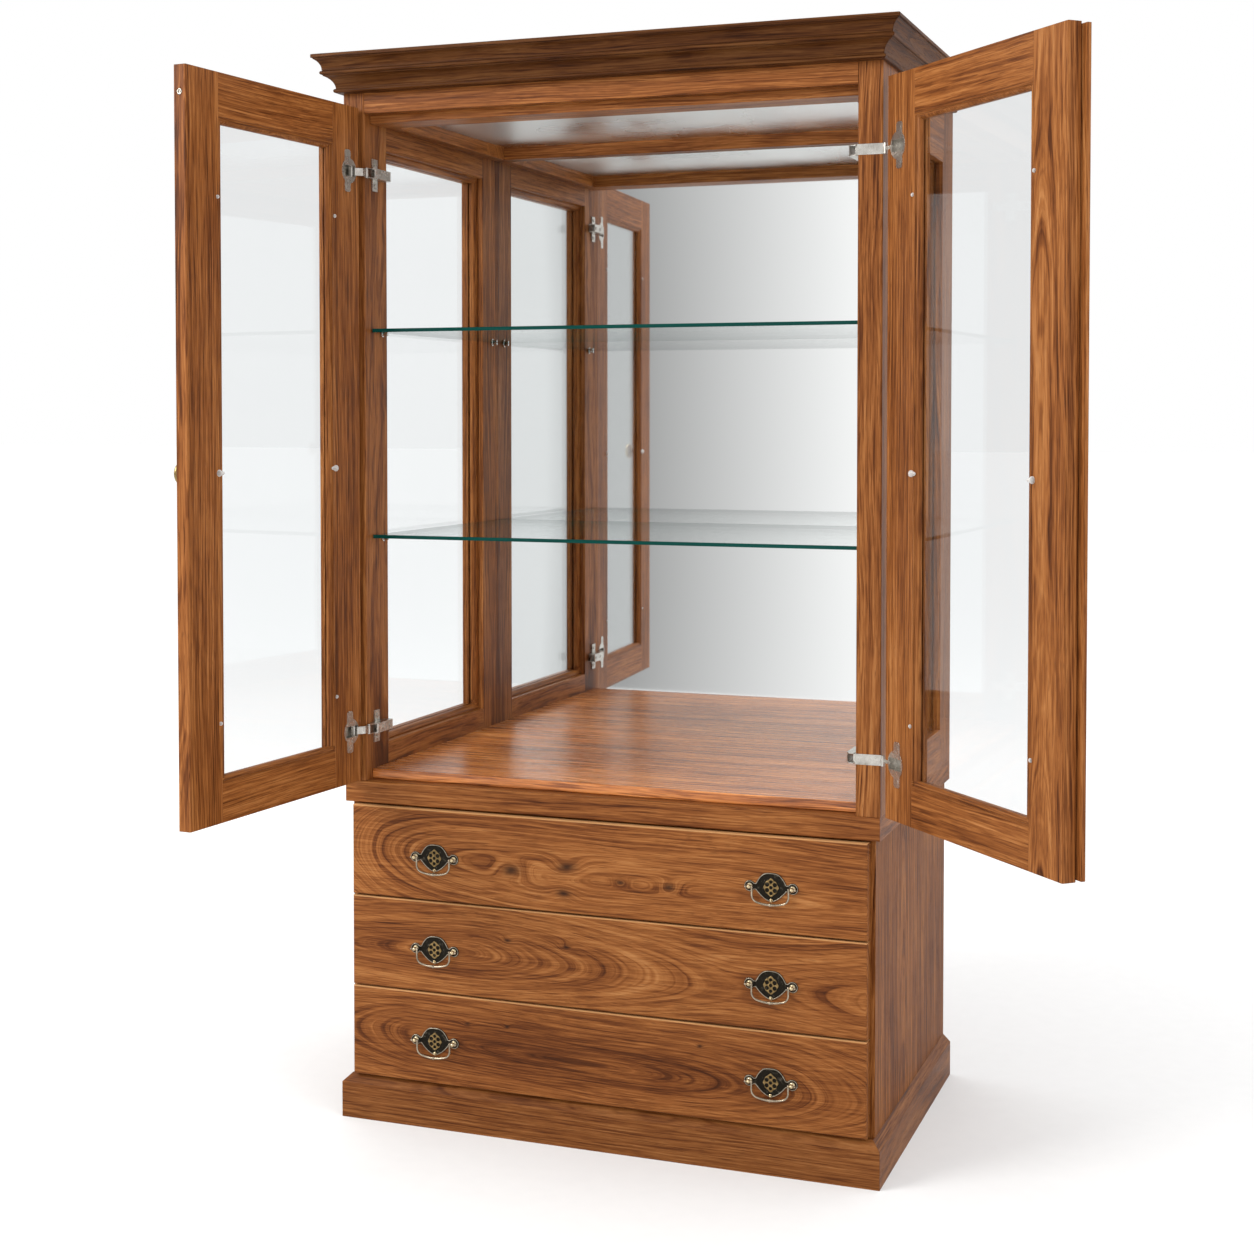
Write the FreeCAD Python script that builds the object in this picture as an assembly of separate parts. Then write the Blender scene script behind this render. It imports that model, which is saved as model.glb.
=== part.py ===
"""Free-standing display cabinet: glazed upper case with two doors over three drawers.

The cabinet stands at the centre of its plinth's base. +Z is up, the front faces -Y and +X is
to the right of someone who looks at the front. Sizes are in millimetres. The doors are drawn
shut and then swung to the open places in which they rest.
"""
import FreeCAD, Part
import math
import os

Vec = FreeCAD.Vector
X_AXIS = Vec(1, 0, 0)
Y_AXIS = Vec(0, 1, 0)
Z_AXIS = Vec(0, 0, 1)

# Overall sizes
overall_height = 1800.0
upper_width = 926.0
plinth_depth = 570.0
plinth_front_step = 12.0

# Plinth and lower case
plinth_height = 73.0
plinth_chamfer = 13.0
plinth_board = 30.0
plinth_side_step = 13.0
lower_case_inset = 9.0
lower_panel = 20.0
base_panel = 18.0
back_panel = 8.0
lower_case_top = 540.0

# Drawers
drawer_count = 3
drawer_front_inset = 8.0
drawer_front_thickness = 20.0
drawer_front_back_step = 2.0
drawer_gap = 3.0
drawer_edge_round = 3.0
drawer_side_height = 112.0
drawer_side = 16.0
drawer_side_gap = 2.0
drawer_depth = 480.0
drawer_bottom = 6.0
drawer_bottom_lift = 8.0
drawer_bottom_groove = 5.0
runner_height = 18.0
runner_reach = 10.0
runner_lift = 45.0
runner_clearance = 0.3

# Waist and display floor
waist_height = 37.0
waist_nose = 2.0
waist_nose_round = 2.5
waist_rail = 80.0
floor_board = 17.0
floor_front_setback = 22.0

# Glazed side frames
side_frame = 39.0
side_stile = 80.0
side_top_rail_drop = 150.0
side_bottom_rail = 55.0
side_lip = 10.0
side_lip_thickness = 12.0
side_glass = 4.0
side_bead = 10.0
side_bead_depth = 12.0
side_edge_chamfer = 1.5

# Upper case
frame_drop = 8.0
front_rail_drop = 96.0
front_rail = 22.0
mirror_glass = 4.0
mirror_gap = 0.3
ceiling_drop = 110.0
ceiling_height = 47.0
ceiling_side_rail = 22.0
ceiling_front_rail = 61.0
ceiling_rear_rail = 20.0
ceiling_glass = 5.0
ceiling_glass_lift = 24.0
ceiling_groove = 8.0
glass_clearance = 0.3

# Cornice
cornice_height = 62.0
cornice_projection = 36.0
# Each point: share of the projection, share of the height, and arc for a point that is passed through
cornice_profile = [(0.14, 0.0), (0.23, 0.056, 'arc'), (0.14, 0.113), (0.14, 0.145),
                   (0.26, 0.306, 'arc'), (0.58, 0.435), (0.58, 0.468), (0.70, 0.516, 'arc'),
                   (0.58, 0.565), (0.62, 0.58), (0.70, 0.758, 'arc'), (0.92, 0.871),
                   (0.92, 0.903), (1.0, 0.903), (1.0, 0.984), (0.97, 1.0)]

# Shelves
shelf_shares = (0.365, 0.6843)
shelf_glass = 6.0
shelf_setback = 23.0
shelf_side_gap = 2.0
peg_radius = 2.5
peg_reach = 12.0
peg_head_radius = 4.5
peg_head = 3.0
peg_front = 60.0
peg_rear = 40.0

# Doors
door_thickness = 22.0
door_gap = 2.0
door_overlay = 38.0
door_middle_gap = 3.0
door_foot_gap = 2.0
door_top_drop = 88.0
door_stile = 78.0
door_top_rail = 66.0
door_bottom_rail = 60.0
door_lip = 8.0
door_lip_thickness = 8.0
door_glass = 4.0
door_bead = 11.0
door_edge_chamfer = 1.5
astragal_width = 22.0
astragal_thickness = 8.0
astragal_shorter = 3.0
astragal_clearance = 0.3
left_open = 95.0
right_open = 133.0

# Door fittings
knob_share = 0.4687
knob_radius = 18.0
knob_reach = 28.0
clip_shares = (0.134, 0.4687, 0.835)
clip_radius = 4.0
clip_thickness = 1.5
bush_radius = 5.0
bush_reach = 1.5
bush_drop = 40.0

# Cup hinges, in the plane that looks down on the hinge: across the opening and along the depth,
# both from the front inner corner of the case side
hinge_rise = 87.0
hinge_drop = 108.0
arm_pivot = (6.0, -2.8)
cup_pivot = (-21.6, -6.3)
link_door_ratio = 3.1
wide_pivot = (-43.0, -1.0)
cup_radius = 20.0
cup_depth = 12.0
cup_centre = -7.6
pocket = (-25.2, 9.6)
pocket_half_height = 9.0
flange_height = 70.0
flange_thickness = 1.5
flange_sunk = 0.7
flange_wing = 13.0
fit_clearance = 0.05
pin_radius = 1.5
knuckle_radius = 3.0
link_half_height = 6.3
link_thickness = 2.6
link_cranks = ((-16.4, -10.6), (-3.0, -9.5))
cheek = 1.5
arm_half_height = 8.3
arm_top = 17.0
arm_length = 66.0
arm_screw_radius = 3.4
arm_screw_head = 0.9
arm_screw_places = (0.45, 0.82)
plate_thickness = 2.5
plate_ridge = 7.0
plate_start = 13.0
plate_length = 42.0
plate_wing = 18.0
plate_height = 54.0
plate_screw_step = 19.0
hinge_screw_radius = 3.6
hinge_screw_head = 1.4
strap_thickness = 1.6

# Drawer pulls
pull_share = 0.3274
pull_drop = 4.0
pull_plate = 2.0
pull_lobe_width = 49.0
pull_lobe_height = 46.0
pull_neck = 6.0
pull_crest = 5.0
pull_ear_offset = 35.0
pull_ear_radius = 8.8
pull_rim = 1.6
pull_field_depth = 0.7
rosette_reach = 14.0
rosette_corner = 2.5
rosette_thickness = 1.2
rosette_hole_radius = 2.5
rosette_eye_radius = 1.9
rosette_dot_radius = 1.1
post_offset = 35.0
post_radius = 3.0
post_reach = 9.0
post_collar_radius = 4.4
post_collar = 1.2
bail_drop = 26.5
bail_leg = 8.0
bail_corner = 12.5
bail_radius = 1.5
bail_half_width = 30.0
bail_pin_radius = 1.25
bail_ball_radius = 1.8
bail_collar_radius = 2.6
strike_radius = 3.2
strike_reach = 3.0

# Places worked out from the sizes above
lower_width = upper_width - 2 * lower_case_inset
drawer_front_width = lower_width - 2 * drawer_front_inset
frame_top = overall_height - frame_drop
front_rail_bottom = overall_height - front_rail_drop
side_top_rail_bottom = overall_height - side_top_rail_drop
ceiling_bottom = overall_height - ceiling_drop
door_top = overall_height - door_top_drop
plinth_front = -plinth_depth / 2
case_rear = plinth_depth / 2
case_front = plinth_front + plinth_front_step
outer_half = upper_width / 2
inner_half = outer_half - side_frame
lower_half = lower_width / 2
lower_inner = lower_half - lower_panel
plinth_half = lower_half + plinth_side_step
drawer_face = plinth_front + drawer_front_back_step
drawer_front_rear = drawer_face + drawer_front_thickness
lower_front = drawer_front_rear + runner_clearance
waist_top = lower_case_top + waist_height
floor_top = waist_top + floor_board
door_bottom = waist_top + door_foot_gap
door_height = door_top - door_bottom
shelf_tops = [floor_top + share * (ceiling_bottom - floor_top) for share in shelf_shares]
hinge_heights = (door_bottom + hinge_rise, door_top - hinge_drop)
clip_heights = [door_bottom + share * door_height for share in clip_shares]
knob_height = door_bottom + knob_share * door_height
pull_offset = drawer_front_width * pull_share
panel_front = case_rear - back_panel
mirror_front = panel_front - mirror_gap - mirror_glass
door_width = outer_half - (side_frame - door_overlay) - door_middle_gap / 2
door_inner_face = case_front - door_gap
door_outer_face = door_inner_face - door_thickness
drawer_pitch = (lower_case_top - plinth_height - drawer_gap) / drawer_count
drawer_front_height = drawer_pitch - drawer_gap


# Plain shapes

def block(x0, x1, y0, y1, z0, z1):
    """A block between two corners."""
    return Part.makeBox(x1 - x0, y1 - y0, z1 - z0, Vec(x0, y0, z0))


def rod(radius, start, end):
    """A round bar from one point to another."""
    run = end - start
    return Part.makeCylinder(radius, run.Length, start, run)


def ball(radius, centre):
    """A ball whose poles lie to its left and right."""
    return Part.makeSphere(radius, centre, X_AXIS)


def outline(points):
    """A closed wire through points; a point marked 'arc' is the middle of an arc."""
    edges = []
    start = points[0]
    ring = points[1:] + [points[0]]
    middle = None
    for point in ring:
        if len(point) == 3:
            middle = point
            continue
        a = Vec(start[0], start[1], 0)
        b = Vec(point[0], point[1], 0)
        if middle:
            edges.append(Part.Arc(a, Vec(middle[0], middle[1], 0), b).toShape())
        elif a.distanceToPoint(b) > 0:
            edges.append(Part.LineSegment(a, b).toShape())
        start = point
        middle = None
    return Part.Wire(edges)


def slab(points, low, high):
    """An outline in plan, raised from one height to another."""
    face = Part.Face(outline(points))
    face.translate(Vec(0, 0, low))
    return face.extrude(Vec(0, 0, high - low))


def upright(points, front, rear):
    """An outline in (x, z), given depth from front to rear."""
    solid = slab(points, -rear, -front)
    solid.rotate(Vec(0, 0, 0), X_AXIS, 90)
    return solid


def along_x(points, x0, x1):
    """An outline in (y, z), carried from x0 to x1."""
    solid = slab(points, x0, x1)
    solid.rotate(Vec(0, 0, 0), Z_AXIS, 90)
    solid.rotate(Vec(0, 0, 0), Y_AXIS, 90)
    return solid


def mirrored(shape):
    """The same piece on the other side of the cabinet."""
    return shape.mirror(Vec(0, 0, 0), X_AXIS)


def fused(shapes):
    """One solid from pieces that touch."""
    return shapes[0].fuse(shapes[1:]).removeSplitter()


def eased(shape, wanted, size, rounded=False):
    """Chamfer or round the edges that pass a test."""
    edges = [edge for edge in shape.Edges if wanted(edge)]
    if rounded:
        return shape.makeFillet(size, edges)
    return shape.makeChamfer(size, edges)


def lies_on_y(edge, y):
    """True where an edge lies wholly in the plane of one depth."""
    box = edge.BoundBox
    return abs(box.YMin - y) < 0.01 and abs(box.YMax - y) < 0.01


def lies_on_x(edge, x):
    """True where an edge lies wholly in the plane of one distance from the middle."""
    box = edge.BoundBox
    return abs(box.XMin - x) < 0.01 and abs(box.XMax - x) < 0.01


def mitred_bar(section, length, reach):
    """A bar along X whose section is (depth, reach into the opening), mitred at both ends."""
    trapezoid = [(0, 0), (length, 0), (length - reach, reach), (reach, reach)]
    depths = [point[0] for point in section]
    return along_x(section, 0, length).common(upright(trapezoid, min(depths), max(depths)))


def mitred_ring(section, reach, x0, x1, z0, z1):
    """Four mitred bars around an opening in the (x, z) plane."""
    bars = []
    places = [(x0, z0, 0, x1 - x0), (x1, z0, -90, z1 - z0),
              (x1, z1, 180, x1 - x0), (x0, z1, 90, z1 - z0)]
    for x, z, turn, length in places:
        bar = mitred_bar(section, length, reach)
        bar.rotate(Vec(0, 0, 0), Y_AXIS, turn)
        bar.translate(Vec(x, 0, z))
        bars.append(bar)
    return bars


# Lower case

def plinth_boards():
    """Front, back and side boards with a chamfered, mitred top edge, and a middle bearer."""
    section_top = plinth_height - plinth_chamfer
    outer = plinth_half
    inner = plinth_half - plinth_board
    ring = [(0, 0), (plinth_board, 0), (plinth_board, plinth_height),
            (plinth_chamfer, plinth_height), (0, section_top)]
    front = along_x([(plinth_front + y, z) for y, z in ring], -outer, outer)
    front_plan = [(-outer, plinth_front), (outer, plinth_front),
                  (inner, plinth_front + plinth_board), (-inner, plinth_front + plinth_board)]
    front = front.common(slab(front_plan, 0, plinth_height))
    side = upright([(outer - x, z) for x, z in ring], plinth_front, case_rear)
    side_plan = [(outer, plinth_front), (outer, case_rear), (inner, case_rear),
                 (inner, plinth_front + plinth_board)]
    side = side.common(slab(side_plan, 0, plinth_height))
    back = block(-inner, inner, case_rear - plinth_board, case_rear, 0, plinth_height)
    bearer = block(-plinth_board / 2, plinth_board / 2, plinth_front + plinth_board,
                   case_rear - plinth_board, 0, plinth_height)
    return [front, side, mirrored(side), back, bearer]


def lower_case():
    """Side panels, base and back of the drawer case."""
    side = block(lower_inner, lower_half, lower_front, case_rear, plinth_height, lower_case_top)
    base = block(-lower_inner, lower_inner, lower_front, panel_front,
                 plinth_height, plinth_height + base_panel)
    back = block(-lower_inner, lower_inner, panel_front, case_rear, plinth_height, lower_case_top)
    return side, base, back


def drawer_base(level):
    """Height of the lower edge of a drawer front, level 0 being the lowest."""
    return plinth_height + drawer_gap + level * drawer_pitch


def box_base(level):
    """Height of the lower edge of a drawer's sides."""
    return drawer_base(level) + (drawer_front_height - drawer_side_height) / 2


def runner(level):
    """The wooden runner of a drawer on the right side panel."""
    low = box_base(level) + runner_lift
    return block(lower_inner - runner_reach, lower_inner, drawer_front_rear + drawer_side,
                 drawer_front_rear + drawer_depth, low, low + runner_height)


def drawer_box(level):
    """Sides, back and bottom of a drawer, with a groove in each side for its runner."""
    front = drawer_front_rear
    rear = front + drawer_depth
    low = box_base(level)
    high = low + drawer_side_height
    outer = lower_inner - drawer_side_gap
    inner = outer - drawer_side
    runner_low = low + runner_lift - runner_clearance
    side = block(inner, outer, front, rear, low, high)
    groove = block(lower_inner - runner_reach - runner_clearance, outer,
                   front + drawer_side - runner_clearance, rear,
                   runner_low, runner_low + runner_height + 2 * runner_clearance)
    bottom_low = low + drawer_bottom_lift
    slot = block(inner, inner + drawer_bottom_groove, front, rear,
                 bottom_low, bottom_low + drawer_bottom)
    side = side.cut(groove).cut(slot)
    back = block(-inner, inner, rear - drawer_side, rear, bottom_low + drawer_bottom, high)
    bottom = block(-inner - drawer_bottom_groove, inner + drawer_bottom_groove, front, rear,
                   bottom_low, bottom_low + drawer_bottom)
    return [side, mirrored(side), back, bottom]


def drawer_front(level):
    """A drawer front with its four front edges rounded."""
    half = drawer_front_width / 2
    low = drawer_base(level)
    board = block(-half, half, drawer_face, drawer_front_rear, low, low + drawer_front_height)
    return eased(board, lambda edge: lies_on_y(edge, drawer_face), drawer_edge_round, True)


# Waist and side frames

def waist_frame():
    """The four rails of the waist; the front one has an eased nose past the case front."""
    nose = case_front - waist_nose
    front = block(-outer_half, outer_half, nose, case_front + waist_rail,
                  lower_case_top, waist_top)
    front = eased(front, lambda edge: lies_on_y(edge, nose) and edge.BoundBox.XLength > waist_rail,
                  waist_nose_round, True)
    side = block(outer_half - waist_rail, outer_half, case_front + waist_rail, case_rear,
                 lower_case_top, waist_top)
    back = block(waist_rail - outer_half, outer_half - waist_rail, case_rear - waist_rail,
                 case_rear, lower_case_top, waist_top)
    return [front, side, mirrored(side), back]


def side_members():
    """Stiles and rails of the right side frame, with the lip that the glass lies against."""
    low = waist_top
    opening_low = low + side_bottom_rail
    opening_high = side_top_rail_bottom
    front = case_front + side_stile
    rear = case_rear - side_stile
    lip = outer_half - side_lip_thickness
    front_stile = fused([
        block(inner_half, outer_half, case_front, front, low, frame_top),
        block(lip, outer_half, front, front + side_lip, opening_low, opening_high)])
    rear_stile = fused([
        block(inner_half, outer_half, rear, case_rear, low, frame_top),
        block(lip, outer_half, rear - side_lip, rear, opening_low, opening_high)])
    bottom_rail = fused([
        block(inner_half, outer_half, front, rear, low, opening_low),
        block(lip, outer_half, front + side_lip, rear - side_lip,
              opening_low, opening_low + side_lip)])
    top_rail = fused([
        block(inner_half, outer_half, front, rear, opening_high, frame_top),
        block(lip, outer_half, front + side_lip, rear - side_lip,
              opening_high - side_lip, opening_high)])
    upright_front = eased(front_stile, lambda edge: lies_on_y(edge, case_front)
                          and edge.BoundBox.ZLength > side_stile, side_edge_chamfer)
    return [upright_front, rear_stile], [bottom_rail, top_rail]


def side_glazing():
    """Glass of the right side and the four mitred beads that hold it from the inside."""
    low = waist_top + side_bottom_rail
    high = side_top_rail_bottom
    front = case_front + side_stile
    rear = case_rear - side_stile
    lip = outer_half - side_lip_thickness
    inner_glass = lip - side_glass
    clear = glass_clearance
    pane = block(inner_glass, lip, front + clear, rear - clear, low + clear, high - clear)
    depth = side_bead_depth
    section = [(0, 0), (depth, 0), (depth, side_bead * 0.2),
               (depth * 0.8, side_bead * 0.75, 'arc'), (depth * 0.35, side_bead), (0, side_bead)]
    beads = mitred_ring(section, side_bead, front, rear, low, high)
    placed = []
    for bead in beads:
        bead.rotate(Vec(0, 0, 0), Z_AXIS, 90)
        bead.translate(Vec(inner_glass, 0, 0))
        placed.append(bead)
    return pane, placed


# Upper case

def ceiling_rails():
    """Four rails round the roof glass, each grooved to take its edge."""
    high = ceiling_bottom + ceiling_height
    rail_inner = inner_half - ceiling_side_rail
    front = case_front + front_rail
    front_inner = front + ceiling_front_rail
    rear_inner = panel_front - ceiling_rear_rail
    glass_low = ceiling_bottom + ceiling_glass_lift
    groove = block(-rail_inner - ceiling_groove, rail_inner + ceiling_groove,
                   front_inner - ceiling_groove, rear_inner + ceiling_groove,
                   glass_low, glass_low + ceiling_glass + glass_clearance)
    side = block(rail_inner, inner_half, front_inner, rear_inner, ceiling_bottom, high)
    front_bar = block(-inner_half, inner_half, front, front_inner, ceiling_bottom, high)
    rear_bar = block(-inner_half, inner_half, rear_inner, panel_front, ceiling_bottom, high)
    rails = [part.cut(groove) for part in (front_bar, rear_bar, side, mirrored(side))]
    clear = glass_clearance
    pane = block(-rail_inner - ceiling_groove + clear, rail_inner + ceiling_groove - clear,
                 front_inner - ceiling_groove + clear, rear_inner + ceiling_groove - clear,
                 glass_low, glass_low + ceiling_glass)
    return rails, pane


def cornice_section(backing):
    """Cornice profile as (projection, height): base bead, cove, bead, upper cove and lip."""
    low = overall_height - cornice_height
    face = [(cornice_projection * point[0], low + cornice_height * point[1]) + point[2:]
            for point in cornice_profile]
    return [(-backing, low)] + face + [(-backing, overall_height)]


def cornice_pieces():
    """Front and side cornice, mitred where they meet at the front corners."""
    reach = cornice_projection
    low = overall_height - cornice_height
    top = overall_height
    front_section = [(plinth_front - p[0],) + tuple(p[1:]) for p in
                     cornice_section(plinth_front_step)]
    front = along_x(front_section, -outer_half - reach, outer_half + reach)
    front_plan = [(-outer_half - reach, plinth_front - reach),
                  (outer_half + reach, plinth_front - reach), (outer_half, plinth_front),
                  (outer_half, case_front), (-outer_half, case_front), (-outer_half, plinth_front)]
    front = front.common(slab(front_plan, low - 1, top + 1))
    side_section = [(outer_half + p[0],) + tuple(p[1:]) for p in cornice_section(0)]
    side = upright(side_section, plinth_front - reach, case_rear)
    side_plan = [(outer_half, plinth_front), (outer_half + reach, plinth_front - reach),
                 (outer_half + reach, case_rear), (outer_half, case_rear)]
    side = side.common(slab(side_plan, low - 1, top + 1))
    return front, side


def shelf(top):
    """A glass shelf between the side frames."""
    half = inner_half - shelf_side_gap
    pane = block(-half, half, case_front + shelf_setback, mirror_front - shelf_side_gap,
                 top - shelf_glass, top)
    return pane


def shelf_pegs():
    """Pegs in the side stiles under each corner of each shelf."""
    pegs = []
    for top in shelf_tops:
        for y in (case_front + peg_front, case_rear - peg_rear):
            z = top - shelf_glass - peg_radius
            start = Vec(inner_half, y, z)
            collar = rod(peg_head_radius, start, start - X_AXIS * peg_head)
            collar = collar.cut(block(0, outer_half, y - peg_head_radius - 1,
                                      y + peg_head_radius + 1, z + peg_radius, top))
            peg = fused([rod(peg_radius, start, start - X_AXIS * peg_reach), collar])
            pegs += [peg, mirrored(peg)]
    return pegs


# Doors, drawn shut on the left side and mirrored for the right

def door_members():
    """Stiles and rails of the left door; the outer lip of each carries the glass."""
    x0 = -outer_half + side_frame - door_overlay
    x1 = x0 + door_width
    y0 = door_outer_face
    y1 = door_inner_face
    low = door_bottom
    high = door_top
    open_x0 = x0 + door_stile
    open_x1 = x1 - door_stile
    open_z0 = low + door_bottom_rail
    open_z1 = high - door_top_rail
    lip_rear = y0 + door_lip_thickness
    hinge_stile = fused([block(x0, open_x0, y0, y1, low, high),
                         block(open_x0, open_x0 + door_lip, y0, lip_rear, open_z0, open_z1)])
    free_stile = fused([block(open_x1, x1, y0, y1, low, high),
                        block(open_x1 - door_lip, open_x1, y0, lip_rear, open_z0, open_z1)])
    bottom = fused([block(open_x0, open_x1, y0, y1, low, open_z0),
                    block(open_x0 + door_lip, open_x1 - door_lip, y0, lip_rear,
                          open_z0, open_z0 + door_lip)])
    top = fused([block(open_x0, open_x1, y0, y1, open_z1, high),
                 block(open_x0 + door_lip, open_x1 - door_lip, y0, lip_rear,
                       open_z1 - door_lip, open_z1)])
    def long_outer_edge(x):
        return lambda edge: lies_on_x(edge, x) and edge.BoundBox.ZLength > door_stile
    hinge_stile = eased(hinge_stile, long_outer_edge(x0), door_edge_chamfer)
    free_stile = eased(free_stile, long_outer_edge(x1), door_edge_chamfer)
    return hinge_stile, free_stile, bottom, top


def door_glazing():
    """Glass of the left door and the moulded beads on its inner side."""
    x0 = -outer_half + side_frame - door_overlay + door_stile
    x1 = -door_middle_gap / 2 - door_stile
    z0 = door_bottom + door_bottom_rail
    z1 = door_top - door_top_rail
    glass_front = door_outer_face + door_lip_thickness
    glass_rear = glass_front + door_glass
    clear = glass_clearance
    pane = block(x0 + clear, x1 - clear, glass_front, glass_rear, z0 + clear, z1 - clear)
    depth = door_inner_face - glass_rear
    section = [(glass_rear, 0), (door_inner_face, 0), (door_inner_face, door_bead * 0.35),
               (glass_rear + depth * 0.86, door_bead * 0.35),
               (glass_rear + depth * 0.72, door_bead * 0.72, 'arc'),
               (glass_rear + depth * 0.3, door_bead), (glass_rear, door_bead)]
    return pane, mitred_ring(section, door_bead, x0, x1, z0, z1)


def knob():
    """A turned mushroom knob on the outer face of the left door's free stile."""
    x = -door_middle_gap / 2 - door_stile / 2
    reach = knob_reach
    half = knob_radius
    profile = [(0, 0), (half * 0.5, 0), (half * 0.5, reach * 0.08),
               (half * 0.3, reach * 0.3, 'arc'), (half * 0.34, reach * 0.5),
               (half * 0.86, reach * 0.58, 'arc'), (half, reach * 0.74),
               (half * 0.8, reach * 0.92, 'arc'), (half * 0.3, reach), (0, reach)]
    turned = Part.Face(outline(profile)).revolve(Vec(0, 0, 0), Y_AXIS, 360)
    turned.rotate(Vec(0, 0, 0), Z_AXIS, 180)
    turned.translate(Vec(x, door_outer_face, knob_height))
    return turned


def glass_clips():
    """Small round turn-buttons on the inner face, beside the beads of the left door."""
    clips = []
    left = -outer_half + side_frame - door_overlay + door_stile - clip_radius
    right = -door_middle_gap / 2 - door_stile + clip_radius
    for z in clip_heights:
        for x in (left, right):
            clips.append(rod(clip_radius, Vec(x, door_inner_face, z),
                             Vec(x, door_inner_face + clip_thickness, z)))
    return clips


def edge_bush():
    """The round metal buffer in the upper end of the left door's free edge."""
    x = -door_middle_gap / 2
    z = door_top - bush_drop
    y = (door_inner_face + door_outer_face) / 2
    return rod(bush_radius, Vec(x - bush_reach, y, z), Vec(x, y, z))


def astragal():
    """The strip on the outer face of the right door that covers the middle gap."""
    x1 = door_middle_gap / 2 + astragal_width / 2
    strip = block(x1 - astragal_width, x1, door_outer_face - astragal_thickness, door_outer_face,
                  door_bottom + astragal_shorter, door_top - astragal_shorter)
    front = door_outer_face - astragal_thickness
    strip = eased(strip, lambda edge: lies_on_y(edge, front)
                  and edge.BoundBox.ZLength > astragal_width, astragal_thickness * 0.4, True)
    return strip.cut(block(x1 - astragal_width, door_middle_gap / 2,
                           door_outer_face - astragal_clearance, door_outer_face,
                           door_bottom, door_top))


# Cup hinges, drawn for the left door shut

def hinge_point(point, z):
    """A point of the hinge plan at a height, on the left side of the case."""
    return Vec(point[0] - inner_half, point[1] + case_front, z)


def hinge_slab(points, low, high):
    """A plan outline of the hinge, on the left side of the case."""
    solid = slab(points, low, high)
    solid.translate(Vec(-inner_half, case_front, 0))
    return solid


def upright_pin(point, z, half, radius):
    """An upright pin through a point of the hinge plan."""
    return rod(radius, hinge_point(point, z - half), hinge_point(point, z + half))


def mounting_plate(z):
    """Cross-shaped plate on the inner face of the side frame, with its ridge for the arm."""
    u1 = plate_thickness
    mid = plate_start + plate_length / 2
    base = hinge_slab([(0, plate_start), (u1, plate_start), (u1, plate_start + plate_length),
                       (0, plate_start + plate_length)], z - arm_half_height, z + arm_half_height)
    wings = hinge_slab([(0, mid - plate_wing / 2), (u1, mid - plate_wing / 2),
                        (u1, mid + plate_wing / 2), (0, mid + plate_wing / 2)],
                       z - plate_height / 2, z + plate_height / 2)
    inner = arm_half_height - cheek - fit_clearance
    ridge = hinge_slab([(u1, plate_start), (plate_ridge, plate_start),
                        (plate_ridge, plate_start + plate_length),
                        (u1, plate_start + plate_length)], z - inner, z + inner)
    return fused([base, wings, ridge])


def plate_screws(z):
    """The two screw heads that hold a mounting plate."""
    mid = plate_start + plate_length / 2
    heads = []
    for side in (-1, 1):
        start = hinge_point((plate_thickness, mid), z + side * plate_screw_step)
        heads.append(rod(hinge_screw_radius, start, start + X_AXIS * hinge_screw_head))
    return heads


def arm_body(z, nose):
    """The arm: a channel over the plate's ridge, open towards the plate."""
    shell = [(plate_ridge + cheek, 6.0), (13.0, 6.0), (arm_top, 12.0), (arm_top, arm_length - 3.0),
             (arm_top - 3.0, arm_length), (plate_thickness, arm_length),
             (plate_thickness, plate_start + plate_length + 2.0),
             (plate_thickness, plate_start), (4.4, 4.0)]
    body = hinge_slab(shell, z - arm_half_height, z + arm_half_height)
    if nose:
        body = fused([body, nose])
    inner = arm_half_height - cheek
    hollow = hinge_slab([(-cheek, -knuckle_radius * 3), (arm_pivot[0] + knuckle_radius * 2,
                         -knuckle_radius * 3), (arm_top - cheek, 12.0 + cheek / 2),
                         (arm_top - cheek, arm_length + 1.0), (-cheek, arm_length + 1.0)],
                        z - inner, z + inner)
    return body.cut(hollow)


def arm_screws(z):
    """The fixing screw and the adjusting screw in the top of an arm."""
    heads = []
    for share in arm_screw_places:
        start = hinge_point((arm_top, arm_length * share), z)
        heads.append(rod(arm_screw_radius, start, start + X_AXIS * arm_screw_head))
    return heads


def left_arm(z):
    """Arm of a left hinge, whose two cheeks carry the pivot of the link."""
    nose = fused([upright_pin(arm_pivot, z, arm_half_height, knuckle_radius),
                  hinge_slab([(arm_pivot[0] - knuckle_radius * 0.9, arm_pivot[1]),
                              (arm_pivot[0] + knuckle_radius * 0.95, arm_pivot[1]),
                              (13.0, 6.5), (4.4, 6.5)],
                             z - arm_half_height, z + arm_half_height)])
    hole = upright_pin(arm_pivot, z, arm_half_height + 1, pin_radius)
    pin = upright_pin(arm_pivot, z, arm_half_height, pin_radius)
    return arm_body(z, nose).cut(hole), pin


def cranked_link(z):
    """The link between arm and cup, cranked so that it clears the rim of the cup."""
    path = [cup_pivot, *link_cranks, arm_pivot]
    half = link_thickness / 2
    bars = []
    for start, end in zip(path[:-1], path[1:]):
        run = Vec(end[0] - start[0], end[1] - start[1], 0)
        side = Vec(-run.y, run.x, 0).normalize() * half
        a = Vec(start[0], start[1], 0)
        b = Vec(end[0], end[1], 0)
        corners = [a - side, b - side, b + side, a + side]
        bars.append(hinge_slab([(c.x, c.y) for c in corners],
                               z - link_half_height, z + link_half_height))
    bends = [upright_pin(point, z, link_half_height, half) for point in link_cranks]
    knuckles = [upright_pin(arm_pivot, z, link_half_height, knuckle_radius),
                upright_pin(cup_pivot, z, link_half_height, knuckle_radius * 0.85)]
    link = fused(bars + bends + knuckles)
    for pivot in (arm_pivot, cup_pivot):
        link = link.cut(upright_pin(pivot, z, link_half_height + 1, pin_radius + fit_clearance))
    return link


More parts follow.
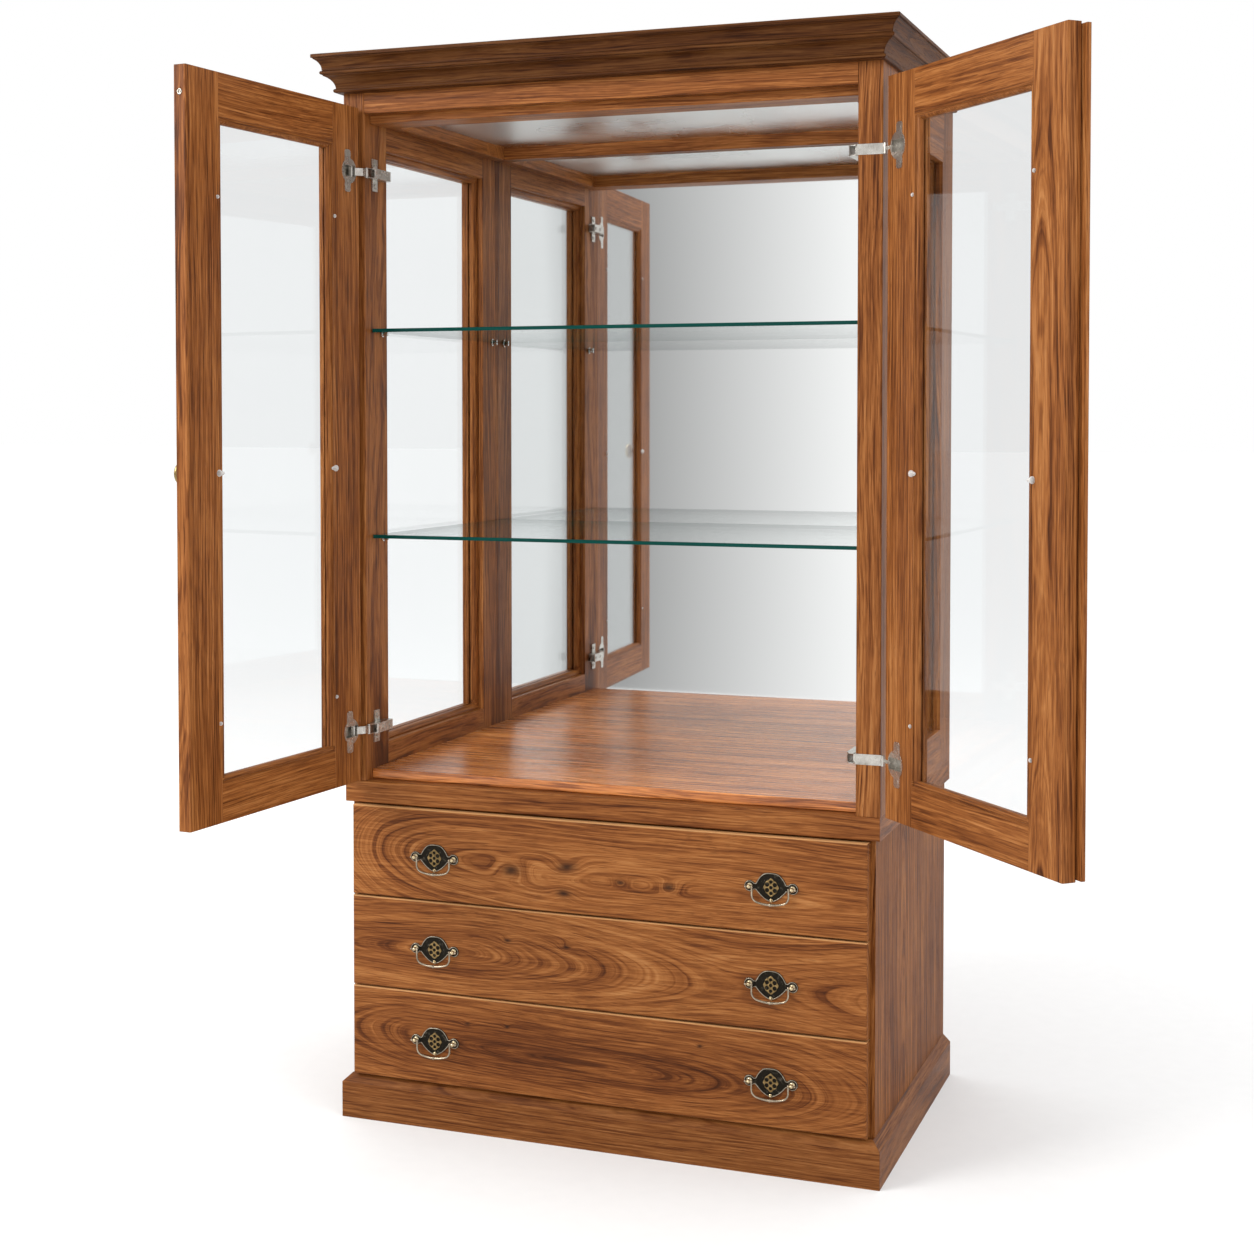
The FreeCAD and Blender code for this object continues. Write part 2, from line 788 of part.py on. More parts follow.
def cup_outline(grow):
    """Front view of the flange: a disc and two wings towards the middle of the door."""
    wing_x = cup_centre + flange_wing
    half = flange_height / 2 + grow
    disc_radius = cup_radius + 1.0 + grow
    return wing_x + grow, half, disc_radius


def cup_shape(z, grow=0.0):
    """Cup and flange without its pocket; grow gives the room that the door leaves for them."""
    wing_x, half, disc_radius = cup_outline(grow)
    face = -door_gap
    centre = (cup_centre, face)
    top = hinge_point(centre, z) + Y_AXIS * (flange_thickness - flange_sunk)
    under = top - Y_AXIS * (flange_thickness + grow)
    disc = rod(disc_radius, top, under)
    wing = block(top.x - 4.0 - grow, wing_x - inner_half, under.y, top.y, z - half, z + half)
    deep = rod(cup_radius + grow, top, hinge_point((cup_centre, face - cup_depth - grow), z))
    wing = eased(wing, lambda edge: edge.BoundBox.YLength > flange_thickness / 2
                 and edge.BoundBox.XLength < 0.01 and edge.BoundBox.ZLength < 0.01, 5.0, True)
    return fused([disc, wing, deep])


def hinge_cup(z):
    """Cup with its pocket and the pin that the link turns on."""
    floor = -door_gap - cup_depth + cheek
    room = hinge_slab([(pocket[0], floor), (pocket[1], floor), (pocket[1], 0), (pocket[0], 0)],
                      z - pocket_half_height, z + pocket_half_height)
    cup = cup_shape(z).cut(room)
    pin = upright_pin(cup_pivot, z, pocket_half_height, pin_radius)
    return cup, pin


def cup_screws(z):
    """The two screw heads of a flange."""
    x = cup_centre + flange_wing * 0.5
    face = flange_thickness - flange_sunk - door_gap
    heads = []
    for side in (-1, 1):
        start = hinge_point((x, face), z + side * (flange_height / 2 - 9.0))
        heads.append(rod(hinge_screw_radius * 0.8, start, start + Y_AXIS * 0.4))
    return heads


def wide_arm(z):
    """Arm of a right hinge, whose strap wraps the front edge of the stile to an outer barrel."""
    leg = strap_thickness
    outer_u = wide_pivot[0] + knuckle_radius
    strap = hinge_slab([(0, 0), (leg, 0), (leg, plate_start), (0, plate_start)],
                       z - arm_half_height, z + arm_half_height)
    across = hinge_slab([(-side_frame, 0), (leg, 0), (leg, leg), (-side_frame, leg)],
                        z - arm_half_height, z + arm_half_height)
    lug = hinge_slab([(wide_pivot[0], 0), (outer_u + 2.0, 0), (outer_u + 2.0, leg),
                      (wide_pivot[0], leg)], z - arm_half_height, z + arm_half_height)
    barrel = upright_pin(wide_pivot, z, arm_half_height, knuckle_radius)
    third = arm_half_height / 3 + fit_clearance
    solid = fused([strap, across, lug, barrel])
    middle = upright_pin(wide_pivot, z, third, knuckle_radius + 0.8)
    solid = solid.cut(middle)
    hole = upright_pin(wide_pivot, z, arm_half_height + 1, pin_radius)
    pin = upright_pin(wide_pivot, z, arm_half_height, pin_radius)
    return solid.cut(hole), arm_body(z, None), pin


def strap_mortise(z):
    """The recess in the stile that takes a strap across its front edge."""
    clear = fit_clearance
    return hinge_slab([(-side_frame - 1, -1), (1, -1), (1, strap_thickness + clear),
                       (-side_frame - 1, strap_thickness + clear)],
                      z - arm_half_height - clear, z + arm_half_height + clear)


def door_leaf(z):
    """The leaf from a right hinge's cup, let into the door, to the middle of the barrel."""
    face = -door_gap
    third = arm_half_height / 3 - fit_clearance
    rim = cup_centre - cup_radius
    leaf = hinge_slab([(wide_pivot[0], face), (rim + 4.0, face),
                       (rim + 4.0, face - strap_thickness), (wide_pivot[0],
                       face - strap_thickness)], z - third, z + third)
    barrel = upright_pin(wide_pivot, z, third, knuckle_radius)
    hole = upright_pin(wide_pivot, z, third + 1, pin_radius + fit_clearance)
    return fused([leaf, barrel]).cut(hole)


def leaf_mortise(z):
    """The recess in the right door's stile for the leaf."""
    third = arm_half_height / 3 + fit_clearance
    face = -door_gap
    edge = -door_overlay - 1.0
    return hinge_slab([(edge, face + 1), (cup_centre, face + 1),
                       (cup_centre, face - strap_thickness - fit_clearance),
                       (edge, face - strap_thickness - fit_clearance)], z - third, z + third)


# Swinging the doors to the places in which they rest

def turn(shape, point, degrees):
    """A copy of a shape turned about an upright axis through a point of the hinge plan."""
    moved = shape.copy()
    moved.rotate(hinge_point(point, 0), Z_AXIS, degrees)
    return moved


def link_turn(opening):
    """How far the link has turned when the door stands open by an angle."""
    return opening / (link_door_ratio - 1)


def rest_left_link(shape):
    """A link of the left hinges as it stands with the door open."""
    return turn(shape, arm_pivot, link_turn(left_open))


def rest_left_door(shape):
    """A piece of the left door, swung about the cup pivot and carried along by the link."""
    swung = turn(shape, cup_pivot, -left_open - link_turn(left_open))
    return rest_left_link(swung)


def rest_right_door(shape):
    """A piece drawn for the left side, mirrored and swung open on the wide hinges."""
    return mirrored(turn(shape, wide_pivot, -right_open))


# Drawer pulls

def pull_outline():
    """A rounded diamond with a crest and a foot, and a round ear at either side."""
    half_w = pull_lobe_width / 2
    half_h = pull_lobe_height / 2
    ear = pull_ear_offset
    radius = pull_ear_radius
    join = radius * 0.6
    right = [(half_w, -pull_neck), (ear - radius * 0.8, -join), (ear + radius, 0, 'arc'),
             (ear - radius * 0.8, join), (half_w, pull_neck)]
    top = [(half_w * 0.70, half_h * 0.73, 'arc'), (pull_crest, half_h * 0.97),
           (0, half_h, 'arc'), (-pull_crest, half_h * 0.97),
           (-half_w * 0.70, half_h * 0.73, 'arc')]
    left = [(-half_w, pull_neck), (-ear + radius * 0.8, join), (-ear - radius, 0, 'arc'),
            (-ear + radius * 0.8, -join), (-half_w, -pull_neck)]
    foot = [(-half_w * 0.64, -half_h * 0.66, 'arc'), (-pull_crest * 0.8, -half_h * 0.95),
            (0, -half_h, 'arc'), (pull_crest * 0.8, -half_h * 0.95),
            (half_w * 0.64, -half_h * 0.66, 'arc')]
    return right + top + left + foot


def backplate(x, z):
    """The shaped back plate with a sunk field inside a raised rim."""
    plate = upright(pull_outline(), drawer_face - pull_plate, drawer_face)
    inner = Part.Face(outline(pull_outline()).makeOffset2D(-pull_rim))
    field = inner.extrude(Vec(0, 0, pull_field_depth))
    field.rotate(Vec(0, 0, 0), X_AXIS, 90)
    field.translate(Vec(0, drawer_face - pull_plate + pull_field_depth, 0))
    plate = plate.cut(field)
    plate.translate(Vec(x, 0, z))
    return plate


def rosette(x, z):
    """The pierced rosette in the middle of a back plate: a diamond with seven round holes."""
    rear = drawer_face - pull_plate + pull_field_depth
    reach = rosette_reach
    cut = rosette_corner
    diamond = [(reach - cut, -cut), (reach - cut * 0.4, 0, 'arc'), (reach - cut, cut),
               (cut, reach - cut), (0, reach - cut * 0.4, 'arc'), (-cut, reach - cut),
               (cut - reach, cut), (cut * 0.4 - reach, 0, 'arc'), (cut - reach, -cut),
               (-cut, cut - reach), (0, cut * 0.4 - reach, 'arc'), (cut, cut - reach)]
    plate = upright(diamond, rear - rosette_thickness, rear)
    places = [(0, 0, rosette_eye_radius)]
    for side in (-1, 1):
        places += [(side * reach * 0.31, lift * reach * 0.31, rosette_hole_radius)
                   for lift in (-1, 1)]
        places.append((0, side * reach * 0.62, rosette_dot_radius))
    holes = [rod(size, Vec(a, rear + 1, b), Vec(a, rear - rosette_thickness - 1, b))
             for a, b, size in places]
    pierced = plate.cut(Part.makeCompound(holes))
    pierced.translate(Vec(x, 0, z))
    return pierced


def bail_axis(x, z):
    """The middle of the bail's turning axis in front of a back plate."""
    return Vec(x, drawer_face - pull_plate - post_reach * 0.6, z)


def pull_posts(x, z):
    """Two posts on the ears, each bored for the end of the bail, and the strike below."""
    posts = []
    axis = bail_axis(x, z)
    face = drawer_face - pull_plate
    for side in (-1, 1):
        start = Vec(x + side * post_offset, face, z)
        post = rod(post_radius, start, start - Y_AXIS * (post_reach * 0.6))
        post = post.fuse(rod(post_collar_radius, start, start - Y_AXIS * post_collar))
        post = fused([post, ball(post_radius, start - Y_AXIS * (post_reach * 0.6))])
        bore = rod(bail_pin_radius + fit_clearance, axis - X_AXIS * 60, axis + X_AXIS * 60)
        posts.append(post.cut(bore))
    low = Vec(x, face, z - pull_lobe_height / 2 + strike_radius)
    strike = rod(strike_radius, low, low - Y_AXIS * strike_reach)
    return posts + [strike]


def wire_bend(centre, start, degrees):
    """A round wire bent about a point in the (x, z) plane, from a start point by an angle."""
    along = Y_AXIS.cross(start - centre)
    ring = Part.Face(Part.Wire([Part.makeCircle(bail_radius, start, along)]))
    return ring.revolve(centre, Y_AXIS, degrees)


def bail(x, z):
    """Drop bail: two short legs, two corners and a shallow bow, with ball ends on its pins."""
    half = bail_half_width
    depth = bail_drop - bail_leg
    bow = (half ** 2 - 2 * half * bail_corner + depth ** 2) / (2 * (depth - bail_corner))
    bow_centre = Vec(0, 0, bow - bail_drop)
    corner_centre = Vec(half - bail_corner, 0, -bail_leg)
    outward = (corner_centre - bow_centre).normalize()
    turn_down = math.degrees(math.atan2(-outward.z, outward.x))
    corner = wire_bend(corner_centre, Vec(half, 0, -bail_leg), turn_down)
    bow_bar = wire_bend(bow_centre, bow_centre + outward * bow, 180 - 2 * turn_down)
    far_outward = Vec(-outward.x, 0, outward.z)
    far_centre = Vec(-corner_centre.x, 0, -bail_leg)
    far_corner = wire_bend(far_centre, bow_centre + far_outward * bow, turn_down)
    wire = bow_bar.fuse([corner, far_corner])
    pieces = [wire, ball(bail_collar_radius, Vec(0, 0, -bail_drop))]
    for side in (1, -1):
        inner = Vec(side * half, 0, 0)
        outer = Vec(side * (post_offset + post_radius + bail_ball_radius), 0, 0)
        pieces += [rod(bail_radius, inner - Z_AXIS * bail_leg, inner),
                   ball(bail_ball_radius, inner), rod(bail_pin_radius, inner, outer),
                   ball(bail_ball_radius, outer)]
    shape = fused(pieces)
    shape.translate(bail_axis(x, z))
    return shape


# Writing the nodes

def write(name, shapes):
    """Write one node as a STEP file."""
    Part.makeCompound(shapes).exportStep(os.path.join("parts", name + ".step"))


def build_base():
    """Plinth, lower case, waist and display floor."""
    write("plinth", plinth_boards())
    side, base, back = lower_case()
    write("right_case_side", [side])
    write("left_case_side", [mirrored(side)])
    write("case_base", [base])
    write("lower_back", [back])
    bars = [runner(level) for level in range(drawer_count)]
    write("drawer_runners", bars + [mirrored(bar) for bar in bars])
    write("waist_frame", waist_frame())
    floor = block(-inner_half, inner_half, case_front + floor_front_setback, panel_front,
                  waist_top, floor_top)
    write("display_floor", [eased(floor, lambda edge: lies_on_y(
        edge, case_front + floor_front_setback) and edge.BoundBox.XLength > side_frame,
        side_edge_chamfer)])


def build_upper_case():
    """Side frames, ceiling, mirror, cornice and shelves."""
    stiles, rails = side_members()
    pane, beads = side_glazing()
    write("left_side_stiles", [mirrored(part) for part in stiles])
    for z in hinge_heights:
        stiles[0] = stiles[0].cut(mirrored(strap_mortise(z)))
    write("right_side_stiles", stiles)
    for side, place in (("right", lambda shape: shape), ("left", mirrored)):
        write(side + "_side_rails", [place(part) for part in rails])
        write(side + "_side_glass", [place(pane)])
    write("side_beads", beads + [mirrored(bead) for bead in beads])
    write("front_top_rail", [block(-inner_half, inner_half, case_front, case_front + front_rail,
                                   front_rail_bottom, frame_top)])
    write("upper_back", [block(-inner_half, inner_half, panel_front, case_rear,
                               waist_top, frame_top)])
    write("back_mirror", [block(-inner_half + mirror_gap, inner_half - mirror_gap, mirror_front,
                                mirror_front + mirror_glass, floor_top,
                                ceiling_bottom - mirror_gap)])
    rails, roof = ceiling_rails()
    write("ceiling_rails", rails)
    write("ceiling_glass", [roof])
    front, side = cornice_pieces()
    write("cornice_front", [front])
    write("cornice_right", [side])
    write("cornice_left", [mirrored(side)])
    for name, top in zip(("lower_shelf", "upper_shelf"), shelf_tops):
        write(name, [shelf(top)])
    write("shelf_pegs", shelf_pegs())


def build_hinges():
    """Plates, arms and links of the four hinges."""
    plates = []
    for z in hinge_heights:
        plates += [mounting_plate(z)] + plate_screws(z) + arm_screws(z)
    left = [part for z in hinge_heights for part in left_arm(z)]
    right = [part for z in hinge_heights for part in wide_arm(z)]
    write("left_hinge_mounts", plates + left)
    write("right_hinge_mounts", [mirrored(part) for part in plates + right])
    write("left_hinge_links", [rest_left_link(cranked_link(z)) for z in hinge_heights])


def build_door(side, place):
    """All the pieces of one door, swung to the place in which it rests."""
    hinge_stile, free_stile, bottom, top = door_members()
    cups = []
    for z in hinge_heights:
        hinge_stile = hinge_stile.cut(cup_shape(z, fit_clearance))
        cup, pin = hinge_cup(z)
        if side == "right":
            leaf = door_leaf(z)
            hinge_stile = hinge_stile.cut(leaf_mortise(z))
            cups += [fused([cup, leaf])] + cup_screws(z)
        else:
            cups += [cup, pin] + cup_screws(z)
    fittings = glass_clips()
    if side == "left":
        bush = edge_bush()
        free_stile = free_stile.cut(bush)
        fittings.append(bush)
    pane, beads = door_glazing()
    write(side + "_door_stiles", [place(hinge_stile), place(free_stile)])
    write(side + "_door_rails", [place(bottom), place(top)])
    write(side + "_door_glass", [place(pane)])
    write(side + "_door_beads", [place(bead) for bead in beads])
    write(side + "_door_knob", [place(knob())])
    write(side + "_door_clips", [place(part) for part in fittings])
    write(side + "_hinge_cups", [place(part) for part in cups])


def build_drawers():
    """Three drawers, each with a box, a front, two pulls and two bails."""
    for level in range(drawer_count):
        name = ("lower", "middle", "upper")[level % 3] + "_drawer"
        z = drawer_base(level) + drawer_front_height / 2 - pull_drop
        write(name + "_front", [drawer_front(level)])
        write(name + "_box", drawer_box(level))
        plates = []
        for side, label in ((-1, "left"), (1, "right")):
            x = side * pull_offset
            plates += [backplate(x, z), rosette(x, z)] + pull_posts(x, z)
            write(name + "_" + label + "_bail", [bail(x, z)])
        write(name + "_pulls", plates)


os.makedirs("parts", exist_ok=True)
build_base()
build_upper_case()
build_hinges()
build_door("left", rest_left_door)
build_door("right", rest_right_door)
write("right_door_astragal", [mirrored(turn(mirrored(astragal()), wide_pivot, -right_open))])
build_drawers()
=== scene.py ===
"""Looks of the glazed display cabinet: walnut case, glass, mirror, linked hinges and old pulls."""
import math

import bmesh
import bpy
import numpy as np
from mathutils import Euler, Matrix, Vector


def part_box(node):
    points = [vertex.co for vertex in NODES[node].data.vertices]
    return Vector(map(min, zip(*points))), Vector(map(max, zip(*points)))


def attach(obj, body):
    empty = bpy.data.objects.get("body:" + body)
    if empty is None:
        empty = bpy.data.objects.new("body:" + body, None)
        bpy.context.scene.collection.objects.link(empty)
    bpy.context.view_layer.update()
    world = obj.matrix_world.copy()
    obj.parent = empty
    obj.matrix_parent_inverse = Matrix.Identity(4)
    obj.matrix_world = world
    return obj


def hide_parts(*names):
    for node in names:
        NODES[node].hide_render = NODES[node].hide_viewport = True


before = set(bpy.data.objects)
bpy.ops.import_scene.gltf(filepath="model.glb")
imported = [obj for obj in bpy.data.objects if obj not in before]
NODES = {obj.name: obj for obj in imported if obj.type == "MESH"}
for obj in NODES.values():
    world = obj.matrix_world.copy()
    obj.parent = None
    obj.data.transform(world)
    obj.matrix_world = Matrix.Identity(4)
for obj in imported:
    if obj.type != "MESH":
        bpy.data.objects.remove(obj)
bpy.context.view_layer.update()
MM = 0.001
WHITE = (1.0, 1.0, 1.0, 1.0)

# The plane of the drawer fronts, and the heights of the glazed openings' lower and upper edge
FACE = -0.283
OPENING_HEIGHTS = (0.650, 1.640)

# Open doors: direction from hinge to free edge, and outward normal of the outer face
LEFT_OPEN = math.radians(95.0)
RIGHT_OPEN = math.radians(133.0)
DOOR_RUN = {"left": (math.cos(-LEFT_OPEN), math.sin(-LEFT_OPEN), 0.0),
            "right": (-math.cos(RIGHT_OPEN), -math.sin(RIGHT_OPEN), 0.0)}
DOOR_OUT = {"left": (-math.sin(LEFT_OPEN), -math.cos(LEFT_OPEN), 0.0),
            "right": (math.sin(RIGHT_OPEN), -math.cos(RIGHT_OPEN), 0.0)}


class Recipe:
    """A small builder for the nodes of one material, or of the air around the cabinet."""

    MIX_SOCKETS = {"FLOAT": (2, 3, 0), "VECTOR": (4, 5, 1), "RGBA": (6, 7, 2)}

    def __init__(self, owner, coords="Object"):
        owner.use_nodes = True
        self.owner = owner
        self.tree = owner.node_tree
        self.tree.nodes.clear()
        self.coords = self.node("ShaderNodeTexCoord").outputs[coords]

    def node(self, kind, **values):
        """Adds a node, sets its attributes, and sets or links its inputs by name."""
        made = self.tree.nodes.new(kind)
        inputs = values.pop("inputs", {})
        for key, value in values.items():
            setattr(made, key, value)
        for key, value in inputs.items():
            self.feed(made.inputs[key], value)
        return made

    def feed(self, socket, value):
        """Links an output to a socket, or sets the socket's own value."""
        if isinstance(value, bpy.types.NodeSocket):
            self.tree.links.new(value, socket)
        else:
            socket.default_value = value

    def math(self, operation, a, b=0.0, c=None, clamp=False):
        """One step of arithmetic on plain numbers."""
        made = self.node("ShaderNodeMath", operation=operation, use_clamp=clamp)
        self.feed(made.inputs[0], a)
        self.feed(made.inputs[1], b)
        if c is not None:
            self.feed(made.inputs[2], c)
        return made.outputs[0]

    def centred(self, value, amount):
        """A value's distance from one half, times an amount."""
        return self.math("MULTIPLY", self.math("SUBTRACT", value, 0.5), amount)

    def vector(self, operation, a, b=(0.0, 0.0, 0.0), scale=None):
        """One step of arithmetic on vectors; a length or a dot product is a plain number."""
        made = self.node("ShaderNodeVectorMath", operation=operation)
        self.feed(made.inputs[0], a)
        self.feed(made.inputs[1], b)
        if scale is not None:
            made.inputs["Scale"].default_value = scale
        return made.outputs["Value" if operation in ("LENGTH", "DOT_PRODUCT") else "Vector"]

    def stretch(self, vector, amounts):
        """A vector with each axis times its own amount."""
        return self.vector("MULTIPLY", vector, amounts)

    def moved_by(self, vector, colour, amount):
        """A vector moved by a noise colour's distance from its middle, times an amount."""
        off = self.vector("SUBTRACT", colour, (0.5, 0.5, 0.5))
        return self.vector("ADD", vector, self.vector("SCALE", off, scale=amount))

    def split(self, vector):
        """The three parts of a vector."""
        return self.node("ShaderNodeSeparateXYZ", inputs={"Vector": vector}).outputs

    def joined(self, **parts):
        """A vector from the parts X, Y and Z that are given."""
        return self.node("ShaderNodeCombineXYZ", inputs=parts).outputs[0]

    def noise(self, vector, scale, detail=3.0, roughness=0.55, out="Fac"):
        """Smooth noise."""
        made = self.node("ShaderNodeTexNoise", inputs={"Vector": vector, "Scale": scale,
                         "Detail": detail, "Roughness": roughness})
        return made.outputs[out]

    def between(self, value, low, high, to_low=0.0, to_high=1.0, kind="SMOOTHSTEP"):
        """Maps a value from one range to another, held at both ends, and eased unless LINEAR."""
        return self.node("ShaderNodeMapRange", interpolation_type=kind, inputs={
            "Value": value, "From Min": low, "From Max": high, "To Min": to_low,
            "To Max": to_high}).outputs[0]

    def ramp(self, value, stops, interpolation="LINEAR"):
        """A colour from a band of (place, colour) stops."""
        made = self.node("ShaderNodeValToRGB", inputs={"Fac": value})
        band = made.color_ramp
        band.interpolation = interpolation
        while len(band.elements) < len(stops):
            band.elements.new(0.5)
        for element, (place, colour) in zip(band.elements, stops):
            element.position = place
            element.color = (*colour, 1.0)
        return made.outputs["Color"]

    def mix(self, factor, a, b, kind="RGBA"):
        """Goes from a to b with the factor: colours, vectors or plain numbers."""
        made = self.node("ShaderNodeMix", data_type=kind)
        first, second, out = self.MIX_SOCKETS[kind]
        self.feed(made.inputs[0], factor)
        self.feed(made.inputs[first], a)
        self.feed(made.inputs[second], b)
        return made.outputs[out]

    def bump(self, height, strength, edge_radius):
        """Fine relief over edges that look softened by a small radius."""
        soft = self.node("ShaderNodeBevel", samples=4, inputs={"Radius": edge_radius}).outputs[0]
        return self.node("ShaderNodeBump", inputs={"Height": height, "Strength": strength,
                         "Distance": 0.0002, "Normal": soft}).outputs[0]

    def shine(self, colour, rough, **more):
        """The usual shader, with the inputs that are given by name and an underscore per space."""
        inputs = {"Base Color": colour, "Roughness": rough}
        inputs.update({key.replace("_", " "): value for key, value in more.items()})
        return self.node("ShaderNodeBsdfPrincipled", inputs=inputs).outputs[0]

    def see_through(self, colour):
        """Lets the background through with a tint."""
        return self.node("ShaderNodeBsdfTransparent", inputs={"Color": colour}).outputs[0]

    def blended(self, factor, first, second):
        """Two shaders mixed by a factor."""
        return self.node("ShaderNodeMixShader", inputs={0: factor, 1: first, 2: second}).outputs[0]

    def finish(self, shader):
        """Joins the shader to the material's output and gives the material."""
        out = self.node("ShaderNodeOutputMaterial")
        self.tree.links.new(shader, out.inputs["Surface"])
        return self.owner


def new_recipe(name):
    """The recipe of a new material."""
    return Recipe(bpy.data.materials.new(name))


def shade(colour, share):
    """A colour times a share, with full cover."""
    return (*(part * share for part in colour), 1.0)


def grain_turn(grain):
    """Rotation that brings the grain direction onto X: "x", "y", "z", or an angle in plan."""
    if grain == "z":
        return Euler((0.0, math.pi / 2, 0.0))
    angle = {"x": 0.0, "y": math.pi / 2}.get(grain, grain)
    return Euler((0.0, 0.0, -angle))


def plank_space(r, grain, heart, lean, shift):
    """Coordinates with the grain along X and the tree's heart line on the X axis."""
    whole = Euler((0.0, lean[0], lean[1])).to_matrix() @ grain_turn(grain).to_matrix()
    place = -(whole @ Vector(heart)) + Vector((shift, 0.0, 0.0))
    return r.node("ShaderNodeMapping", inputs={"Vector": r.coords, "Rotation": whole.to_euler(),
                  "Location": place}).outputs[0]


def mitre(half_x, half_y):
    """True on the boards of a frame in plan that run along Y, up to the mitre lines."""
    def mask(r):
        x, y = r.split(r.coords)[:2]
        past_x = r.math("SUBTRACT", r.math("ABSOLUTE", x), half_x)
        past_y = r.math("SUBTRACT", r.math("ABSOLUTE", y), half_y)
        return r.math("GREATER_THAN", past_x, past_y)
    return mask


def outside_heights(low, high):
    """True on the level members above and below an upright opening."""
    def mask(r):
        z = r.split(r.coords)[2]
        return r.math("MAXIMUM", r.math("LESS_THAN", z, low), r.math("GREATER_THAN", z, high))
    return mask


# Oiled walnut: stops of its colours from dark to light, the colours of pores and knots, and the
# painted highlight on faces that point up, such as the rounded top edges of the drawer fronts
WALNUT_STOPS = ((0.10, (0.052, 0.0140, 0.0032)), (0.32, (0.138, 0.0395, 0.0088)),
                (0.50, (0.248, 0.0810, 0.0190)), (0.66, (0.350, 0.1290, 0.0345)),
                (0.88, (0.480, 0.2080, 0.0690)))
PORE_COLOUR = (0.075, 0.020, 0.005)
KNOT_COLOUR = (0.020, 0.008, 0.004, 1.0)
TOP_HIGHLIGHT_COLOUR = (0.70, 0.38, 0.16, 1.0)

# Noises over the rings: scale along the grain, scale across the rings, detail, roughness
BANDS = (0.75, 34.0, 2.0, 0.5)
STREAKS = (2.0, 240.0, 5.0, 0.62)
CONTOURS = (1.5, 150.0, 1.5, 0.5)
DASHES = (11.0, 460.0, 2.0, 0.55)

# How strongly each noise shows in the wood
BAND_SHARE = 0.30
STREAK_SHARE = 0.95
CLOUD_SHARE = 0.42
FIBRE_SHARE = 0.66
LINE_SHARE = 0.14
DASH_SHARE = 0.15
MIDDLE_TONE = 0.55

# A drawer front's figure is kept in a colour ramp, whose places and values lie between 0 and 1
FIGURE_START = 0.5
FIGURE_DEPTH = 5.0


def ring_noise(r, rings, kind, fine=1.0):
    """One of the noises over the rings, finer by a factor across them."""
    along, across, detail, roughness = kind
    return r.noise(r.stretch(rings, (along, across * fine, 1.0)), 1.0, detail, roughness)


def fibre_noise(r, bent, along, across, detail, roughness=0.55):
    """Noise drawn out along the grain."""
    return r.noise(r.stretch(bent, (along, across, across)), 1.0, detail, roughness)


def heart_distance(r, along, bent, figure):
    """Distance from the tree's heart line: from the X axis, or on a drawer front from the curve
    through the figure's (x, depth, height) points."""
    if figure is None:
        return r.vector("LENGTH", r.stretch(bent, (0.0, 1.0, 1.0)))
    x, y, z = r.split(r.vector("ADD", r.coords, r.vector("SUBTRACT", bent, along)))
    stops = [(place + FIGURE_START, (depth * FIGURE_DEPTH, height, 0.0))
             for place, depth, height in figure]
    course = r.ramp(r.math("ADD", x, FIGURE_START), stops, "B_SPLINE")
    depth, height = r.split(course)[:2]
    depth = r.math("ADD", r.math("MULTIPLY", depth, 1.0 / FIGURE_DEPTH),
                   r.math("SUBTRACT", y, FACE))
    return r.vector("LENGTH", r.joined(Y=r.math("SUBTRACT", z, height), Z=depth))


def push_knots(r, radius, ripple, knots):
    """Each knot adds a bell curve of its size to the ring radius. Gives the radius and how dark the
    knots are."""
    dark = None
    for centre, size in knots:
        spot = r.moved_by(r.vector("SUBTRACT", r.coords, centre), ripple, 0.012)
        far = r.vector("LENGTH", r.stretch(spot, (0.55 / size, 1.0 / size, 1.0 / size)))
        square = r.math("MULTIPLY", far, far)
        near = r.math("EXPONENT", r.math("MULTIPLY", square, -0.42))
        radius = r.math("MULTIPLY_ADD", near, size * 1.1, radius)
        core = r.math("EXPONENT", r.math("MULTIPLY", square, -2.2))
        dark = core if dark is None else r.math("MAXIMUM", dark, core)
    return radius, dark


